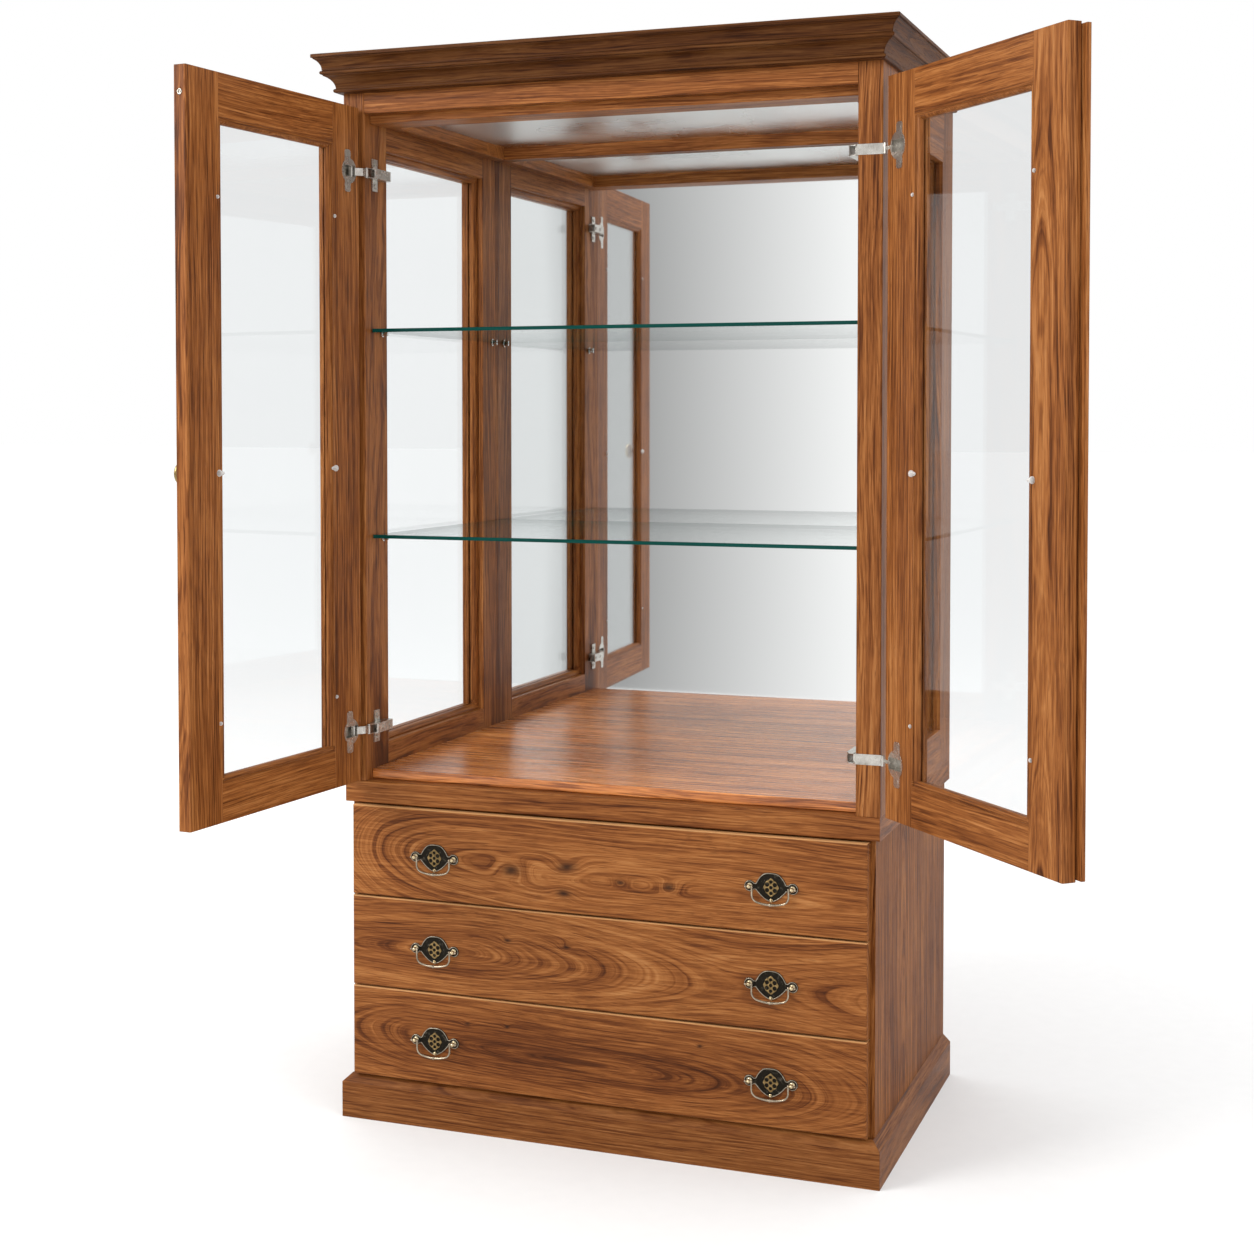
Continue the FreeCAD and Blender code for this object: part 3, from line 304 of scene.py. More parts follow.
def walnut(name, grain, heart=(0.0, 0.0, 0.0), lean=(0.0, 0.0), tone=1.0, contrast=1.0, knots=(),
           shift=0.0, warp=0.010, fine=1.0, cross=None, gloss=0.40, sheen=0.12, figure=None,
           dark_heart=0.0, top_highlight=False):
    """Oiled walnut. Rings are cylinders round a leaning heart line, bent by slow noise, so that a
    face near the heart shows arches and a face far from it shows straight stripes. Bands, streaks,
    thin lines and dashes follow the ring radius; fibres and pores run along the grain. Each knot
    is (centre, size): it pushes the rings aside and darkens. cross is (grain, mask) for the boards
    that run the other way. figure lists (x, depth, height) of the heart line behind a drawer
    front: where the depth changes, the lines close to arches. dark_heart darkens the rings near
    the heart. top_highlight paints a highlight on faces that point up, such as the rounded top
    edge."""
    r = new_recipe(name)
    along = plank_space(r, grain, heart, lean, shift)
    if cross is not None:
        other = plank_space(r, cross[0], heart, lean, shift + 3.3)
        along = r.mix(cross[1](r), along, other, "VECTOR")
    slow = r.noise(r.stretch(along, (1.3, 5.0, 5.0)), 1.0, 2.0, out="Color")
    ripple = r.noise(r.stretch(along, (10.0, 26.0, 26.0)), 1.0, 2.0, out="Color")
    bent = r.moved_by(r.moved_by(along, slow, warp * 3.0), ripple, warp * 0.16)
    radius = heart_distance(r, along, bent, figure)
    radius, dark_knot = push_knots(r, radius, ripple, knots)
    rings = r.joined(X=r.split(bent)[0], Y=radius)

    contour = ring_noise(r, rings, CONTOURS, fine)
    line = r.between(r.math("ABSOLUTE", r.math("SUBTRACT", contour, 0.5)), 0.0, 0.045, 1.0, 0.0)
    broken = r.between(fibre_noise(r, bent, 5.0, 60.0, 2.0), 0.34, 0.58)
    line = r.math("MULTIPLY", line, broken)
    dash = r.between(ring_noise(r, rings, DASHES), 0.36, 0.50, 1.0, 0.0)
    fibre = fibre_noise(r, bent, 13.0, 400.0, 2.0, 0.6)
    pore = r.between(fibre_noise(r, bent, 34.0, 1250.0, 1.0), 0.30, 0.42, 1.0, 0.0)
    cloud = fibre_noise(r, bent, 2.2, 9.0, 3.0)

    body = r.math("ADD", r.centred(ring_noise(r, rings, BANDS, fine), BAND_SHARE * contrast),
                  r.centred(ring_noise(r, rings, STREAKS, fine), STREAK_SHARE * contrast))
    body = r.math("ADD", body, r.centred(cloud, CLOUD_SHARE * contrast))
    body = r.math("ADD", body, r.centred(fibre, FIBRE_SHARE))
    body = r.math("SUBTRACT", body, r.math("MULTIPLY", line, LINE_SHARE * contrast))
    body = r.math("SUBTRACT", body, r.math("MULTIPLY", dash, DASH_SHARE * contrast))
    if dark_heart:
        body = r.math("SUBTRACT", body, r.between(radius, 0.018, 0.060, dark_heart, 0.0))
    body = r.math("ADD", body, MIDDLE_TONE)
    colour = r.ramp(body, [(place, shade(stop, tone)[:3]) for place, stop in WALNUT_STOPS])
    colour = r.mix(r.math("MULTIPLY", pore, 0.55), colour, shade(PORE_COLOUR, tone))
    if dark_knot is not None:
        colour = r.mix(r.math("MULTIPLY", dark_knot, 0.92), colour, KNOT_COLOUR)
    # Painted highlight: faces that point up are mixed towards a light colour, as if lit from above
    if top_highlight:
        rise = r.split(r.node("ShaderNodeNewGeometry").outputs["Normal"])[2]
        colour = r.mix(r.between(rise, 0.30, 0.85, 0.0, 0.75), colour, TOP_HIGHLIGHT_COLOUR)

    rough = r.math("ADD", r.math("MULTIPLY", fibre, 0.16), gloss - 0.08)
    rough = r.math("MULTIPLY_ADD", pore, 0.15, rough)
    relief = r.math("SUBTRACT", r.math("MULTIPLY", fibre, 0.5), pore)
    relief = r.bump(relief, strength=0.25, edge_radius=0.0016)
    return r.finish(r.shine(colour, rough, Normal=relief, Specular_IOR_Level=sheen))


def clear_glass(name, tint, edge=None, smear=0.006, power=5.0):
    """Clear sheet glass: it lets the background through with a slight tint and mirrors more at a
    glancing angle, by a power of the facing. With an edge colour, faces that look sideways
    are cut edges, deep and banded."""
    r = new_recipe(name)
    facing = r.node("ShaderNodeLayerWeight", inputs={"Blend": 0.5}).outputs["Facing"]
    glance = r.math("MULTIPLY_ADD", r.math("POWER", facing, power), 0.9, 0.04)
    dust = r.noise(r.coords, 2.6, 4.0)
    through = r.see_through(r.mix(dust, shade(tint, 0.985), shade(tint, 1.0)))
    gleam = r.shine((0.96, 0.98, 0.98, 1.0), r.math("MULTIPLY", dust, smear), Metallic=1.0)
    shader = r.blended(glance, through, gleam)
    if edge is not None:
        normal = r.node("ShaderNodeNewGeometry").outputs["True Normal"]
        level = r.math("ABSOLUTE", r.vector("DOT_PRODUCT", normal, (0.0, 0.0, 1.0)))
        bands = r.noise(r.stretch(r.coords, (5.0, 5.0, 700.0)), 1.0, 3.0)
        colour = r.mix(bands, shade(edge, 0.45), shade(edge, 1.7))
        cut = r.shine(colour, 0.18, Specular_IOR_Level=0.14)
        shader = r.blended(r.math("LESS_THAN", level, 0.5), shader, cut)
    return r.finish(shader)


def silvered_mirror(name):
    """Silvered glass: a bright metal face with very faint clouding."""
    r = new_recipe(name)
    cloud = r.noise(r.coords, 1.7, 3.0)
    colour = r.mix(cloud, (0.86, 0.872, 0.868, 1.0), (0.91, 0.922, 0.918, 1.0))
    return r.finish(r.shine(colour, r.math("MULTIPLY", cloud, 0.05), Metallic=1.0))


def metal(name, clean, dark, patina, scale=60.0, rough=(0.2, 0.45), brushed=None, hollow=None):
    """Metal with patches of patina. brushed stretches the fine grain. hollow is (deep, high), two
    Y places: metal at the deep one keeps its full patina and metal at the high one is worn
    bright."""
    r = new_recipe(name)
    patches = r.noise(r.coords, scale, 5.0, 0.62)
    fine = r.noise(r.coords if brushed is None else r.stretch(r.coords, brushed),
                   scale * 9.0 if brushed is None else 1.0, 3.0)
    if hollow is not None:
        patina = r.between(r.split(r.coords)[1], hollow[1], hollow[0], patina, 1.1)
    amount = r.math("ADD", r.centred(patches, 1.5), r.centred(fine, 0.5))
    amount = r.math("ADD", amount, patina, clamp=True)
    colour = r.mix(amount, (*clean, 1.0), (*dark, 1.0))
    wear = r.math("MULTIPLY_ADD", amount, 0.6, r.math("MULTIPLY", fine, 0.4))
    gloss = r.math("MULTIPLY_ADD", wear, rough[1] - rough[0], rough[0])
    relief = r.bump(fine, strength=0.15, edge_radius=0.0004)
    return r.finish(r.shine(colour, gloss, Metallic=1.0, Normal=relief))


def clear_plastic(name):
    """Milky clear plastic of the door studs: rims mirror more than middles."""
    r = new_recipe(name)
    cloud = r.noise(r.coords, 260.0, 2.0)
    facing = r.node("ShaderNodeLayerWeight", inputs={"Blend": 0.5}).outputs["Facing"]
    milk = r.mix(cloud, (0.62, 0.60, 0.57, 1.0), (0.88, 0.88, 0.87, 1.0))
    solid = r.shine(milk, 0.12, Specular_IOR_Level=0.7)
    cover = r.between(facing, 0.05, 0.6, 0.42, 0.85)
    return r.finish(r.blended(cover, r.see_through((0.93, 0.93, 0.92, 1.0)), solid))


def dress(material, *names):
    """Gives CAD nodes one material."""
    for name in names:
        mesh = NODES[name].data
        mesh.materials.clear()
        mesh.materials.append(material)
        for face in mesh.polygons:
            face.material_index = 0


# Woods of the case. The masks of mitred frames take half the frame's width and depth.

case_x = walnut("case_walnut_across", "x", heart=(0.0, -0.35, 0.60), fine=1.2)
case_z = walnut("case_walnut_upright", "z", heart=(0.30, -0.10, 0.0), lean=(0.0, 0.01), fine=1.1,
                tone=0.93, contrast=1.2)
case_y = walnut("case_walnut_deep", "y", heart=(0.25, 0.0, 0.40), fine=1.1)
roof_wood = walnut("ceiling_rail_walnut", "x", heart=(0.0, -0.35, 1.30), fine=1.1,
                   cross=("y", mitre(0.424, 0.20)))
# The cornice's walnut, front and sides, is much darker: partly darker wood, partly painted shade of
# its mouldings, which face down
crown_x = walnut("cornice_walnut", "x", heart=(0.0, -0.2, 1.9), fine=1.3, tone=0.31, sheen=0.08)
crown_y = walnut("cornice_side_walnut", "y", heart=(0.2, 0.0, 1.92), fine=1.3, tone=0.40,
                 sheen=0.06)
plinth_wood = walnut("plinth_walnut", "x", heart=(0.0, -0.33, 0.12), shift=1.3, contrast=0.95,
                     tone=0.70, cross=("y", mitre(0.467, 0.285)))
side_wood = walnut("case_side_walnut", "z", heart=(0.36, -0.05, 0.0), lean=(0.02, 0.03), tone=0.84,
                   contrast=1.35, sheen=0.04)
back_wood = walnut("back_board_walnut", "z", heart=(0.06, 0.50, 0.0), lean=(0.03, 0.02), tone=0.86,
                   contrast=0.75, shift=0.8, sheen=0.08)
# The display floor's walnut is about twice as light as the other walnut: painted light for the
# mirror's bright reflection in it and for the light that the inside of the case lacks
floor_wood = walnut("display_floor_walnut", "x", heart=(0.3, -0.9, 0.20), lean=(0.004, 0.01),
                    fine=0.7, tone=2.1, shift=0.4, gloss=0.26, sheen=0.6, contrast=1.35)
waist_wood = walnut("waist_walnut", "x", heart=(0.2, -0.36, 0.50), tone=0.90, shift=2.2, fine=1.1,
                    cross=("y", mitre(0.463, 0.275)))
box_wood = walnut("drawer_box_wood", "x", heart=(0.0, 0.1, 0.2), tone=1.9, contrast=0.5, fine=1.4)
bead_wood = walnut("side_bead_walnut", "z", heart=(0.25, 0.1, 0.3), fine=1.3, tone=0.95,
                   cross=("y", outside_heights(*OPENING_HEIGHTS)))

dress(plinth_wood, "plinth")
dress(side_wood, "left_case_side", "right_case_side")
dress(case_x, "case_base", "front_top_rail")
dress(back_wood, "lower_back", "upper_back")
dress(roof_wood, "ceiling_rails")
dress(waist_wood, "waist_frame")
dress(floor_wood, "display_floor")
dress(case_z, "left_side_stiles", "right_side_stiles")
dress(case_y, "left_side_rails", "right_side_rails")
dress(bead_wood, "side_beads")
dress(crown_x, "cornice_front")
dress(crown_y, "cornice_left", "cornice_right")
dress(box_wood, "drawer_runners")

# Woods of the doors: uprights, and rails whose grain follows the open door

for side, heart, tone in (("left", (-0.52, -0.5, 0.0), 0.98), ("right", (0.70, -0.62, 0.0), 0.96)):
    across = math.atan2(DOOR_RUN[side][1], DOOR_RUN[side][0])
    upright_wood = walnut(side + "_door_walnut_upright", "z", heart=heart, lean=(0.012, 0.01),
                          tone=tone, fine=1.0, contrast=1.3)
    rail_wood = walnut(side + "_door_walnut_across", across, heart=(-0.40, -0.4, 1.20), tone=tone,
                       fine=1.1)
    door_bead_wood = walnut(side + "_door_bead_walnut", "z", heart=heart, tone=tone * 0.9,
                            fine=1.3, cross=(across, outside_heights(*OPENING_HEIGHTS)))
    dress(upright_wood, side + "_door_stiles")
    dress(rail_wood, side + "_door_rails")
    dress(door_bead_wood, side + "_door_beads")
    if side == "right":
        dress(upright_wood, "right_door_astragal")

# Woods of the three drawer fronts, with the figure of each and a painted highlight on their top
# edges

front_woods = {
    "upper": walnut("upper_drawer_walnut", "x", tone=0.93, warp=0.012, contrast=1.0, top_highlight=True,
                    figure=[(-0.46, 0.110, 0.466), (-0.39, 0.072, 0.464), (-0.28, 0.040, 0.460),
                            (-0.10, 0.022, 0.455), (0.16, 0.018, 0.446), (0.46, 0.034, 0.430)],
                    knots=(((-0.152, FACE, 0.449), 0.013), ((-0.055, FACE, 0.462), 0.013),
                           ((-0.060, FACE, 0.418), 0.009), ((0.040, FACE, 0.443), 0.006),
                           ((0.122, FACE, 0.445), 0.008))),
    "middle": walnut("middle_drawer_walnut", "x", tone=0.89, warp=0.014, shift=1.7, contrast=1.05,
                     dark_heart=0.12, top_highlight=True,
                     figure=[(-0.46, 0.040, 0.300), (-0.25, 0.018, 0.304), (-0.12, 0.034, 0.306),
                             (0.06, 0.066, 0.303), (0.25, 0.092, 0.300), (0.46, 0.060, 0.296)],
                     knots=(((-0.160, FACE, 0.330), 0.005), ((-0.055, FACE, 0.330), 0.005))),
    "lower": walnut("lower_drawer_walnut", "x", tone=0.89, warp=0.013, fine=0.9, shift=4.1,
                    contrast=0.95, dark_heart=0.16, top_highlight=True,
                    figure=[(-0.46, 0.062, 0.150), (-0.34, 0.036, 0.150), (-0.05, 0.016, 0.145),
                            (0.15, 0.024, 0.140), (0.33, 0.050, 0.138), (0.46, 0.088, 0.136)],
                    knots=(((0.175, FACE, 0.190), 0.004), ((-0.235, FACE, 0.185), 0.004),
                           ((-0.160, FACE, 0.187), 0.0035)))}
for level, front_wood in front_woods.items():
    dress(front_wood, level + "_drawer_front")
    dress(box_wood, level + "_drawer_box")

# Glass and metals of the parts kept from the frame

dress(clear_glass("pane_glass", (0.940, 0.949, 0.952)), "left_side_glass", "right_side_glass",
      "left_door_glass", "right_door_glass")
dress(clear_glass("roof_glass", (0.90, 0.915, 0.91), smear=0.6, power=2.0), "ceiling_glass")
dress(clear_glass("shelf_glass", (0.955, 0.978, 0.970), edge=(0.0012, 0.046, 0.037)),
      "lower_shelf", "upper_shelf")
dress(silvered_mirror("mirror_silver"), "back_mirror")
dress(metal("hinge_nickel", (0.68, 0.65, 0.60), (0.20, 0.18, 0.15), 0.28, scale=90.0,
            rough=(0.20, 0.42), brushed=(900.0, 900.0, 60.0)),
      "left_hinge_mounts", "right_hinge_mounts", "left_hinge_links", "left_hinge_cups",
      "right_hinge_cups")
dress(metal("peg_steel", (0.66, 0.66, 0.64), (0.25, 0.24, 0.22), 0.15, rough=(0.15, 0.35)),
      "shelf_pegs")


def weave(rows, columns, closed):
    """Quads between neighbours of a grid of points; a closed grid joins its last column to its
    first."""
    here = np.arange(columns if closed else columns - 1)
    beside = (here + 1) % columns
    start = np.arange(rows - 1)[:, None] * columns
    quads = np.stack([start + here, start + beside, start + columns + beside,
                      start + columns + here], axis=-1)
    return quads.reshape(-1, 4)


def made_piece(name, grids, material, body, slot, *nodes):
    """One mesh from point grids closed across their columns. Doubled points at poles and seams are
    merged, faces are turned outwards and edges sharper than 40 degrees stay sharp."""
    points = []
    quads = []
    count = 0
    for grid in grids:
        rows, columns = grid.shape[:2]
        quads.append(weave(rows, columns, True) + count)
        points.append(grid.reshape(-1, 3))
        count += rows * columns
    mesh = bpy.data.meshes.new(name)
    mesh.from_pydata(np.concatenate(points).tolist(), [], np.concatenate(quads).tolist())
    shell = bmesh.new()
    shell.from_mesh(mesh)
    bmesh.ops.remove_doubles(shell, verts=shell.verts, dist=2e-6)
    bmesh.ops.recalc_face_normals(shell, faces=shell.faces)
    shell.to_mesh(mesh)
    shell.free()
    mesh.shade_smooth()
    mesh.set_sharp_from_angle(angle=math.radians(40.0))
    made = bpy.data.objects.new(name, mesh)
    bpy.context.scene.collection.objects.link(made)
    mesh.materials.append(material)
    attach(made, body)
    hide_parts(*nodes)
    return made


def full_circle(sides):
    """Angles of a circle's points, without the doubled last one."""
    return np.linspace(0.0, 2 * math.pi, sides, endpoint=False)


def turned(origin, axis, profile, sides):
    """A turned form: each profile point (travel along the axis, radius) in millimetres is carried
    round the axis."""
    axis = np.asarray(axis, float) / np.linalg.norm(axis)
    helper = np.array([0.0, 0.0, 1.0]) if abs(axis[2]) < 0.9 else np.array([1.0, 0.0, 0.0])
    first = np.cross(axis, helper)
    first /= np.linalg.norm(first)
    second = np.cross(axis, first)
    angle = full_circle(sides)
    ring = np.cos(angle)[:, None] * first + np.sin(angle)[:, None] * second
    travel, radius = (np.asarray(profile, float) * MM).T
    return (np.asarray(origin, float) + (travel[:, None] * axis)[:, None, :]
            + radius[:, None, None] * ring[None])


def ball_profile(middle, radius, start, stop):
    """Profile points of a ball on the axis, from one angle to another in degrees."""
    angle = np.radians(np.linspace(start, stop, 16))
    return [(middle + radius * math.cos(a), max(0.0, radius * math.sin(a))) for a in angle]


def wire(path, radius, sides=20):
    """A bent wire in an upright plane: a circle of varying radius carried along the path, across
    its tangent and across Y."""
    tangent = np.gradient(path, axis=0)
    tangent /= np.linalg.norm(tangent, axis=1)[:, None]
    depth = np.array([0.0, 1.0, 0.0])
    across = np.cross(depth, tangent)
    angle = full_circle(sides)
    ring = (np.cos(angle)[None, :, None] * across[:, None, :]
            + np.sin(angle)[None, :, None] * depth)
    return path[:, None, :] + radius[:, None, None] * ring


def smooth(value, low, high):
    """Eased step from 0 at low to 1 at high."""
    t = np.clip((value - low) / (high - low), 0.0, 1.0)
    return t * t * (3 - 2 * t)


def rounded(reach, width):
    """Quarter circle from 0 at the edge to 1 at the width."""
    return np.sqrt(1 - (1 - np.clip(reach / width, 0.0, 1.0)) ** 2)


# Sizes of a drawer pull in millimetres, about its middle on the drawer front
PULL_X = 292.0408
PULL_DROP = 4.0
PLATE_REACH = 43.8
LOBE_HEIGHT = 23.0
EAR_X = 35.0
EAR_RADIUS = 8.8
STRIKE_DROP = 20.6
BALL_OUT = 7.4
ROSETTE_HALF = (12.6, 14.6)
ROSETTE_HOLES = np.array([(0, 0, 2.6), (0, 9.0, 2.6), (0, -9.0, 2.6), (6.3, 4.4, 3.2),
                          (-6.3, 4.4, 3.2), (6.3, -4.4, 3.2), (-6.3, -4.4, 3.2)])


def on_front(points, place_x, place_z):
    """Points about a pull's middle, in millimetres, brought to its place on the drawer fronts."""
    return (points + np.array([place_x, 0.0, place_z])) * MM + np.array([0.0, FACE, 0.0])


def plate_edges(x):
    """Upper and lower edge of the back plate at each x, in millimetres: the largest of the lobe,
    whose height falls with a power of the distance from the middle, the neck and the round ear."""
    far = np.abs(x)
    ear = np.sqrt(np.clip(EAR_RADIUS ** 2 - (far - EAR_X) ** 2, 0.0, None))
    neck = np.where(far < 32.0, 5.4, 0.0)
    crest = LOBE_HEIGHT * (1 - np.clip(far / 27.0, 0, 1) ** 3.0)
    foot = LOBE_HEIGHT * (1 - np.clip(far / 29.1, 0, 1) ** 1.75)
    return np.maximum.reduce([crest, neck, ear]), -np.maximum.reduce([foot, neck, ear])


def back_plate(place_x, place_z):
    """Cast plate: a grid between its lower and upper edge. The relief rises over a rolled edge,
    keeps a narrow rim, drops into a sunk field and carries fine rings round the middle; ears are
    domed."""
    rim = 2.1
    field = 1.05
    x = PLATE_REACH * np.sin(np.linspace(-math.pi / 2, math.pi / 2, 201))
    top, low = plate_edges(x)
    share = 0.5 - 0.5 * np.cos(np.linspace(0.0, math.pi, 61))
    z = low[:, None] + (top - low)[:, None] * share[None, :]
    grid_x = np.repeat(x[:, None], share.size, axis=1)
    edge = np.concatenate([np.stack([x, top], axis=1), np.stack([x, low], axis=1)])
    reach = np.hypot(grid_x[..., None] - edge[:, 0], z[..., None] - edge[:, 1]).min(axis=-1)
    far = np.hypot(grid_x, z)
    rings = (0.20 * np.cos(2 * math.pi * (far - 15.4) / 2.6) * smooth(far, 14.0, 15.5)
             * (1 - smooth(far, 21, 23)))
    dome = 0.8 * np.sqrt(np.clip(1 - ((np.abs(grid_x) - EAR_X) ** 2 + z ** 2) / 60.0, 0, 1))
    sunk = field + (rings + dome) * smooth(reach, 2.0, 2.8)
    height = rim * rounded(reach, 0.9) + (sunk - rim) * smooth(reach, 1.3, 2.1)
    front = np.stack([grid_x, -height, z], axis=-1)
    back = np.stack([grid_x, np.full_like(z, 0.05), z], axis=-1)[:, ::-1]
    return on_front(np.concatenate([front, back], axis=1), place_x, place_z)


def pierced_rosette(place_x, place_z):
    """Pierced rosette: rings out to a soft diamond. Each round hole drops to the plate's field."""
    floor_height = 0.9
    power = 1.5
    share = np.linspace(0.0, 1.0, 56)
    angle = full_circle(160)
    wide = (np.abs(np.cos(angle)) / ROSETTE_HALF[0]) ** power
    tall = (np.abs(np.sin(angle)) / ROSETTE_HALF[1]) ** power
    radius = (wide + tall) ** (-1 / power) * (1 + 0.035 * np.cos(8 * angle))
    x = share[:, None] * (radius * np.cos(angle))[None, :]
    z = share[:, None] * (radius * np.sin(angle))[None, :]
    height = 1.0 + 1.5 * rounded((1 - share)[:, None] * radius[None, :], 1.2)
    to_hole = np.hypot(x[..., None] - ROSETTE_HOLES[:, 0], z[..., None] - ROSETTE_HOLES[:, 1])
    gap = (to_hole - ROSETTE_HOLES[:, 2]).min(axis=-1)
    height = floor_height + (height - floor_height) * smooth(gap, -0.35, 0.35)
    height += 0.25 * np.exp(-((gap - 0.7) / 0.45) ** 2)
    front = np.stack([x, -height, z], axis=-1)
    floor = np.stack([x[-1], np.full_like(z[-1], 0.03), z[-1]], axis=-1)[None]
    return on_front(np.concatenate([front, floor, np.zeros_like(floor)]), place_x, place_z)


def pull_posts(place_x, place_z):
    """Two turned posts on the ears with a collar, a waist and a ball, and a strike at the foot."""
    post = ([(0.0, 0.0), (0.3, 4.6), (1.9, 4.6), (2.6, 4.0), (3.1, 2.9), (3.9, 2.3)]
            + ball_profile(BALL_OUT, 3.5, 140.0, 0.0))
    strike = ([(0.0, 0.0), (1.0, 3.0), (2.6, 3.0), (3.0, 2.4)]
              + ball_profile(3.6, 2.2, 130.0, 0.0))
    seats = ((-EAR_X, 0.0, post), (EAR_X, 0.0, post), (0.0, -STRIKE_DROP, strike))
    return [turned(on_front(np.array([x, 0.0, z]), place_x, place_z), (0.0, -1.0, 0.0), form, 28)
            for x, z, form in seats]


def swing_bail(place_x, place_z):
    """Drop bail: straight legs, round corners and a shallow bow on one path in an upright plane.
    The wire swells towards the middle, where it has a collar; its pins end in balls."""
    half, leg, corner, drop = 30.0, 12.0, 12.0, 26.5
    depth = drop - leg
    bow = (half ** 2 - 2 * half * corner + depth ** 2) / (2 * (depth - corner))
    spread = math.atan2(half - corner, bow - depth)
    right_leg = np.stack([np.full(6, half), np.linspace(0.0, -leg, 6)], axis=1)
    turn = np.linspace(0.0, 1.0, 18) * (math.pi / 2 - spread)
    right_corner = np.stack([half - corner + corner * np.cos(turn), -leg - corner * np.sin(turn)],
                            axis=1)
    fan = np.linspace(spread, -spread, 61)
    arch = np.stack([bow * np.sin(fan), bow - drop - bow * np.cos(fan)], axis=1)
    half_path = np.concatenate([right_leg, right_corner[1:]])
    flat = np.concatenate([half_path, arch[1:-1], half_path[::-1] * np.array([-1.0, 1.0])])
    run = np.concatenate([[0.0], np.cumsum(np.hypot(*np.diff(flat, axis=0).T))])
    off = run - run[-1] / 2
    radius = 1.6 + 0.45 * np.exp(-(off / 16.0) ** 2) + 1.0 * np.exp(-(off / 1.6) ** 4)
    # The doubled ends close the wire; a hair's shift gives each of them a direction
    radius = np.concatenate([[0.0], radius, [0.0]])
    flat = np.concatenate([flat[:1], flat, flat[-1:]])
    path = np.stack([flat[:, 0], np.full(len(flat), -BALL_OUT), flat[:, 1]], axis=1)
    path = on_front(path, place_x, place_z)
    path[[0, -1], 2] += 1e-5
    forms = [wire(path, radius * MM)]
    pin = (ball_profile(half, 2.3, 180.0, 35.0) + [(32.2, 1.2), (38.6, 1.2)]
           + ball_profile(40.4, 2.1, 145.0, 0.0))
    origin = on_front(np.array([0.0, -BALL_OUT, 0.0]), place_x, place_z)
    return forms + [turned(origin, (way, 0.0, 0.0), pin, 24) for way in (-1, 1)]


plate_bronze = metal("pull_bronze", (0.46, 0.40, 0.31), (0.020, 0.017, 0.013), 0.22, scale=140.0,
                     rough=(0.22, 0.48), hollow=(FACE - 0.0014, FACE - 0.0021))
rosette_brass = metal("rosette_brass", (0.46, 0.31, 0.13), (0.020, 0.015, 0.009), 0.42,
                      scale=230.0, rough=(0.24, 0.5), hollow=(FACE - 0.0012, FACE - 0.0021))
post_brass = metal("post_brass", (0.76, 0.62, 0.38), (0.10, 0.075, 0.045), 0.22, scale=150.0,
                   rough=(0.14, 0.34))
bail_brass = metal("bail_brass", (0.55, 0.46, 0.34), (0.10, 0.075, 0.05), 0.38, scale=110.0,
                   rough=(0.16, 0.36))
knob_brass = metal("knob_brass", (0.50, 0.36, 0.15), (0.10, 0.066, 0.026), 0.45, scale=48.0,
                   rough=(0.16, 0.34))
bush_nickel = metal("bush_nickel", (0.50, 0.47, 0.42), (0.14, 0.12, 0.10), 0.3, scale=300.0)
stud_plastic = clear_plastic("stud_plastic")

for level in front_woods:
    low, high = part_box(level + "_drawer_front")
    pull_z = (low[2] + high[2]) / 2 / MM - PULL_DROP
    body = level + "_drawer"
    node = body + "_pulls"
    places = [(-PULL_X, pull_z), (PULL_X, pull_z)]
    made_piece(level + "_pull_plates", [back_plate(*p) for p in places], plate_bronze, body,
               "pull_bronze", node)
    made_piece(level + "_pull_rosettes", [pierced_rosette(*p) for p in places], rosette_brass,
               body, "pull_bronze", node)
    made_piece(level + "_pull_posts", [form for p in places for form in pull_posts(*p)],
               post_brass, body, "pull_bronze", node)
    for label, place in zip(("left", "right"), places):
        bail_body = body + "_" + label + "_bail"
        made_piece(bail_body + "_wire", swing_bail(*place), bail_brass, bail_body, "bail_brass",
                   bail_body)

# Profiles in millimetres: travel out from the wood, and radius. The knob has a small base, a hollow
# waist and a flattened head with a rolled edge; the bush is a ring with a sunk middle.
KNOB_PROFILE = ([(0.0, 0.0), (0.0, 9.0), (1.4, 9.2), (2.2, 8.2)]
                + [(t, 5.2 + 0.055 * (t - 9.0) ** 2) for t in np.linspace(3.2, 13.0, 9)]
                + [(14.2, 9.5), (15.0, 13.2), (16.2, 16.0), (17.6, 17.4), (19.2, 18.0),
                   (20.8, 17.7), (22.4, 16.5), (23.4, 14.8), (24.0, 13.6), (24.4, 13.4)]
                + [(24.4 + 3.4 * math.sqrt(1 - (q / 13.4) ** 2), q)
                   for q in np.linspace(12.9, 0.0, 10)])
FERRULE_PROFILE = [(0.0, 0.0), (0.0, 4.6), (1.3, 4.6), (1.8, 4.3), (2.0, 3.7), (1.8, 3.0),
                   (0.5, 2.6), (0.3, 1.6), (1.2, 1.2), (1.5, 0.0)]

# Rows of door studs: height, radius in millimetres and how far the drop's point reaches, as a share
# of the radius. What stands higher than all of them on the left door is its buffer bush.
STUD_ROWS = ((0.7308, 3.0, 0.0), (1.1100, 5.3, 1.2), (1.5251, 3.0, 0.0))
BUSH_ABOVE = 1.6


def node_points(name):
    """A frame node's points as an array."""
    mesh = NODES[name].data
    flat = np.empty(len(mesh.vertices) * 3)
    mesh.vertices.foreach_get("co", flat)
    return flat.reshape(-1, 3)


def seat(points, out):
    """The middle of some points, moved back along a direction to where they start."""
    middle = (points.min(axis=0) + points.max(axis=0)) / 2
    return middle + out * ((points @ out).min() - middle @ out)


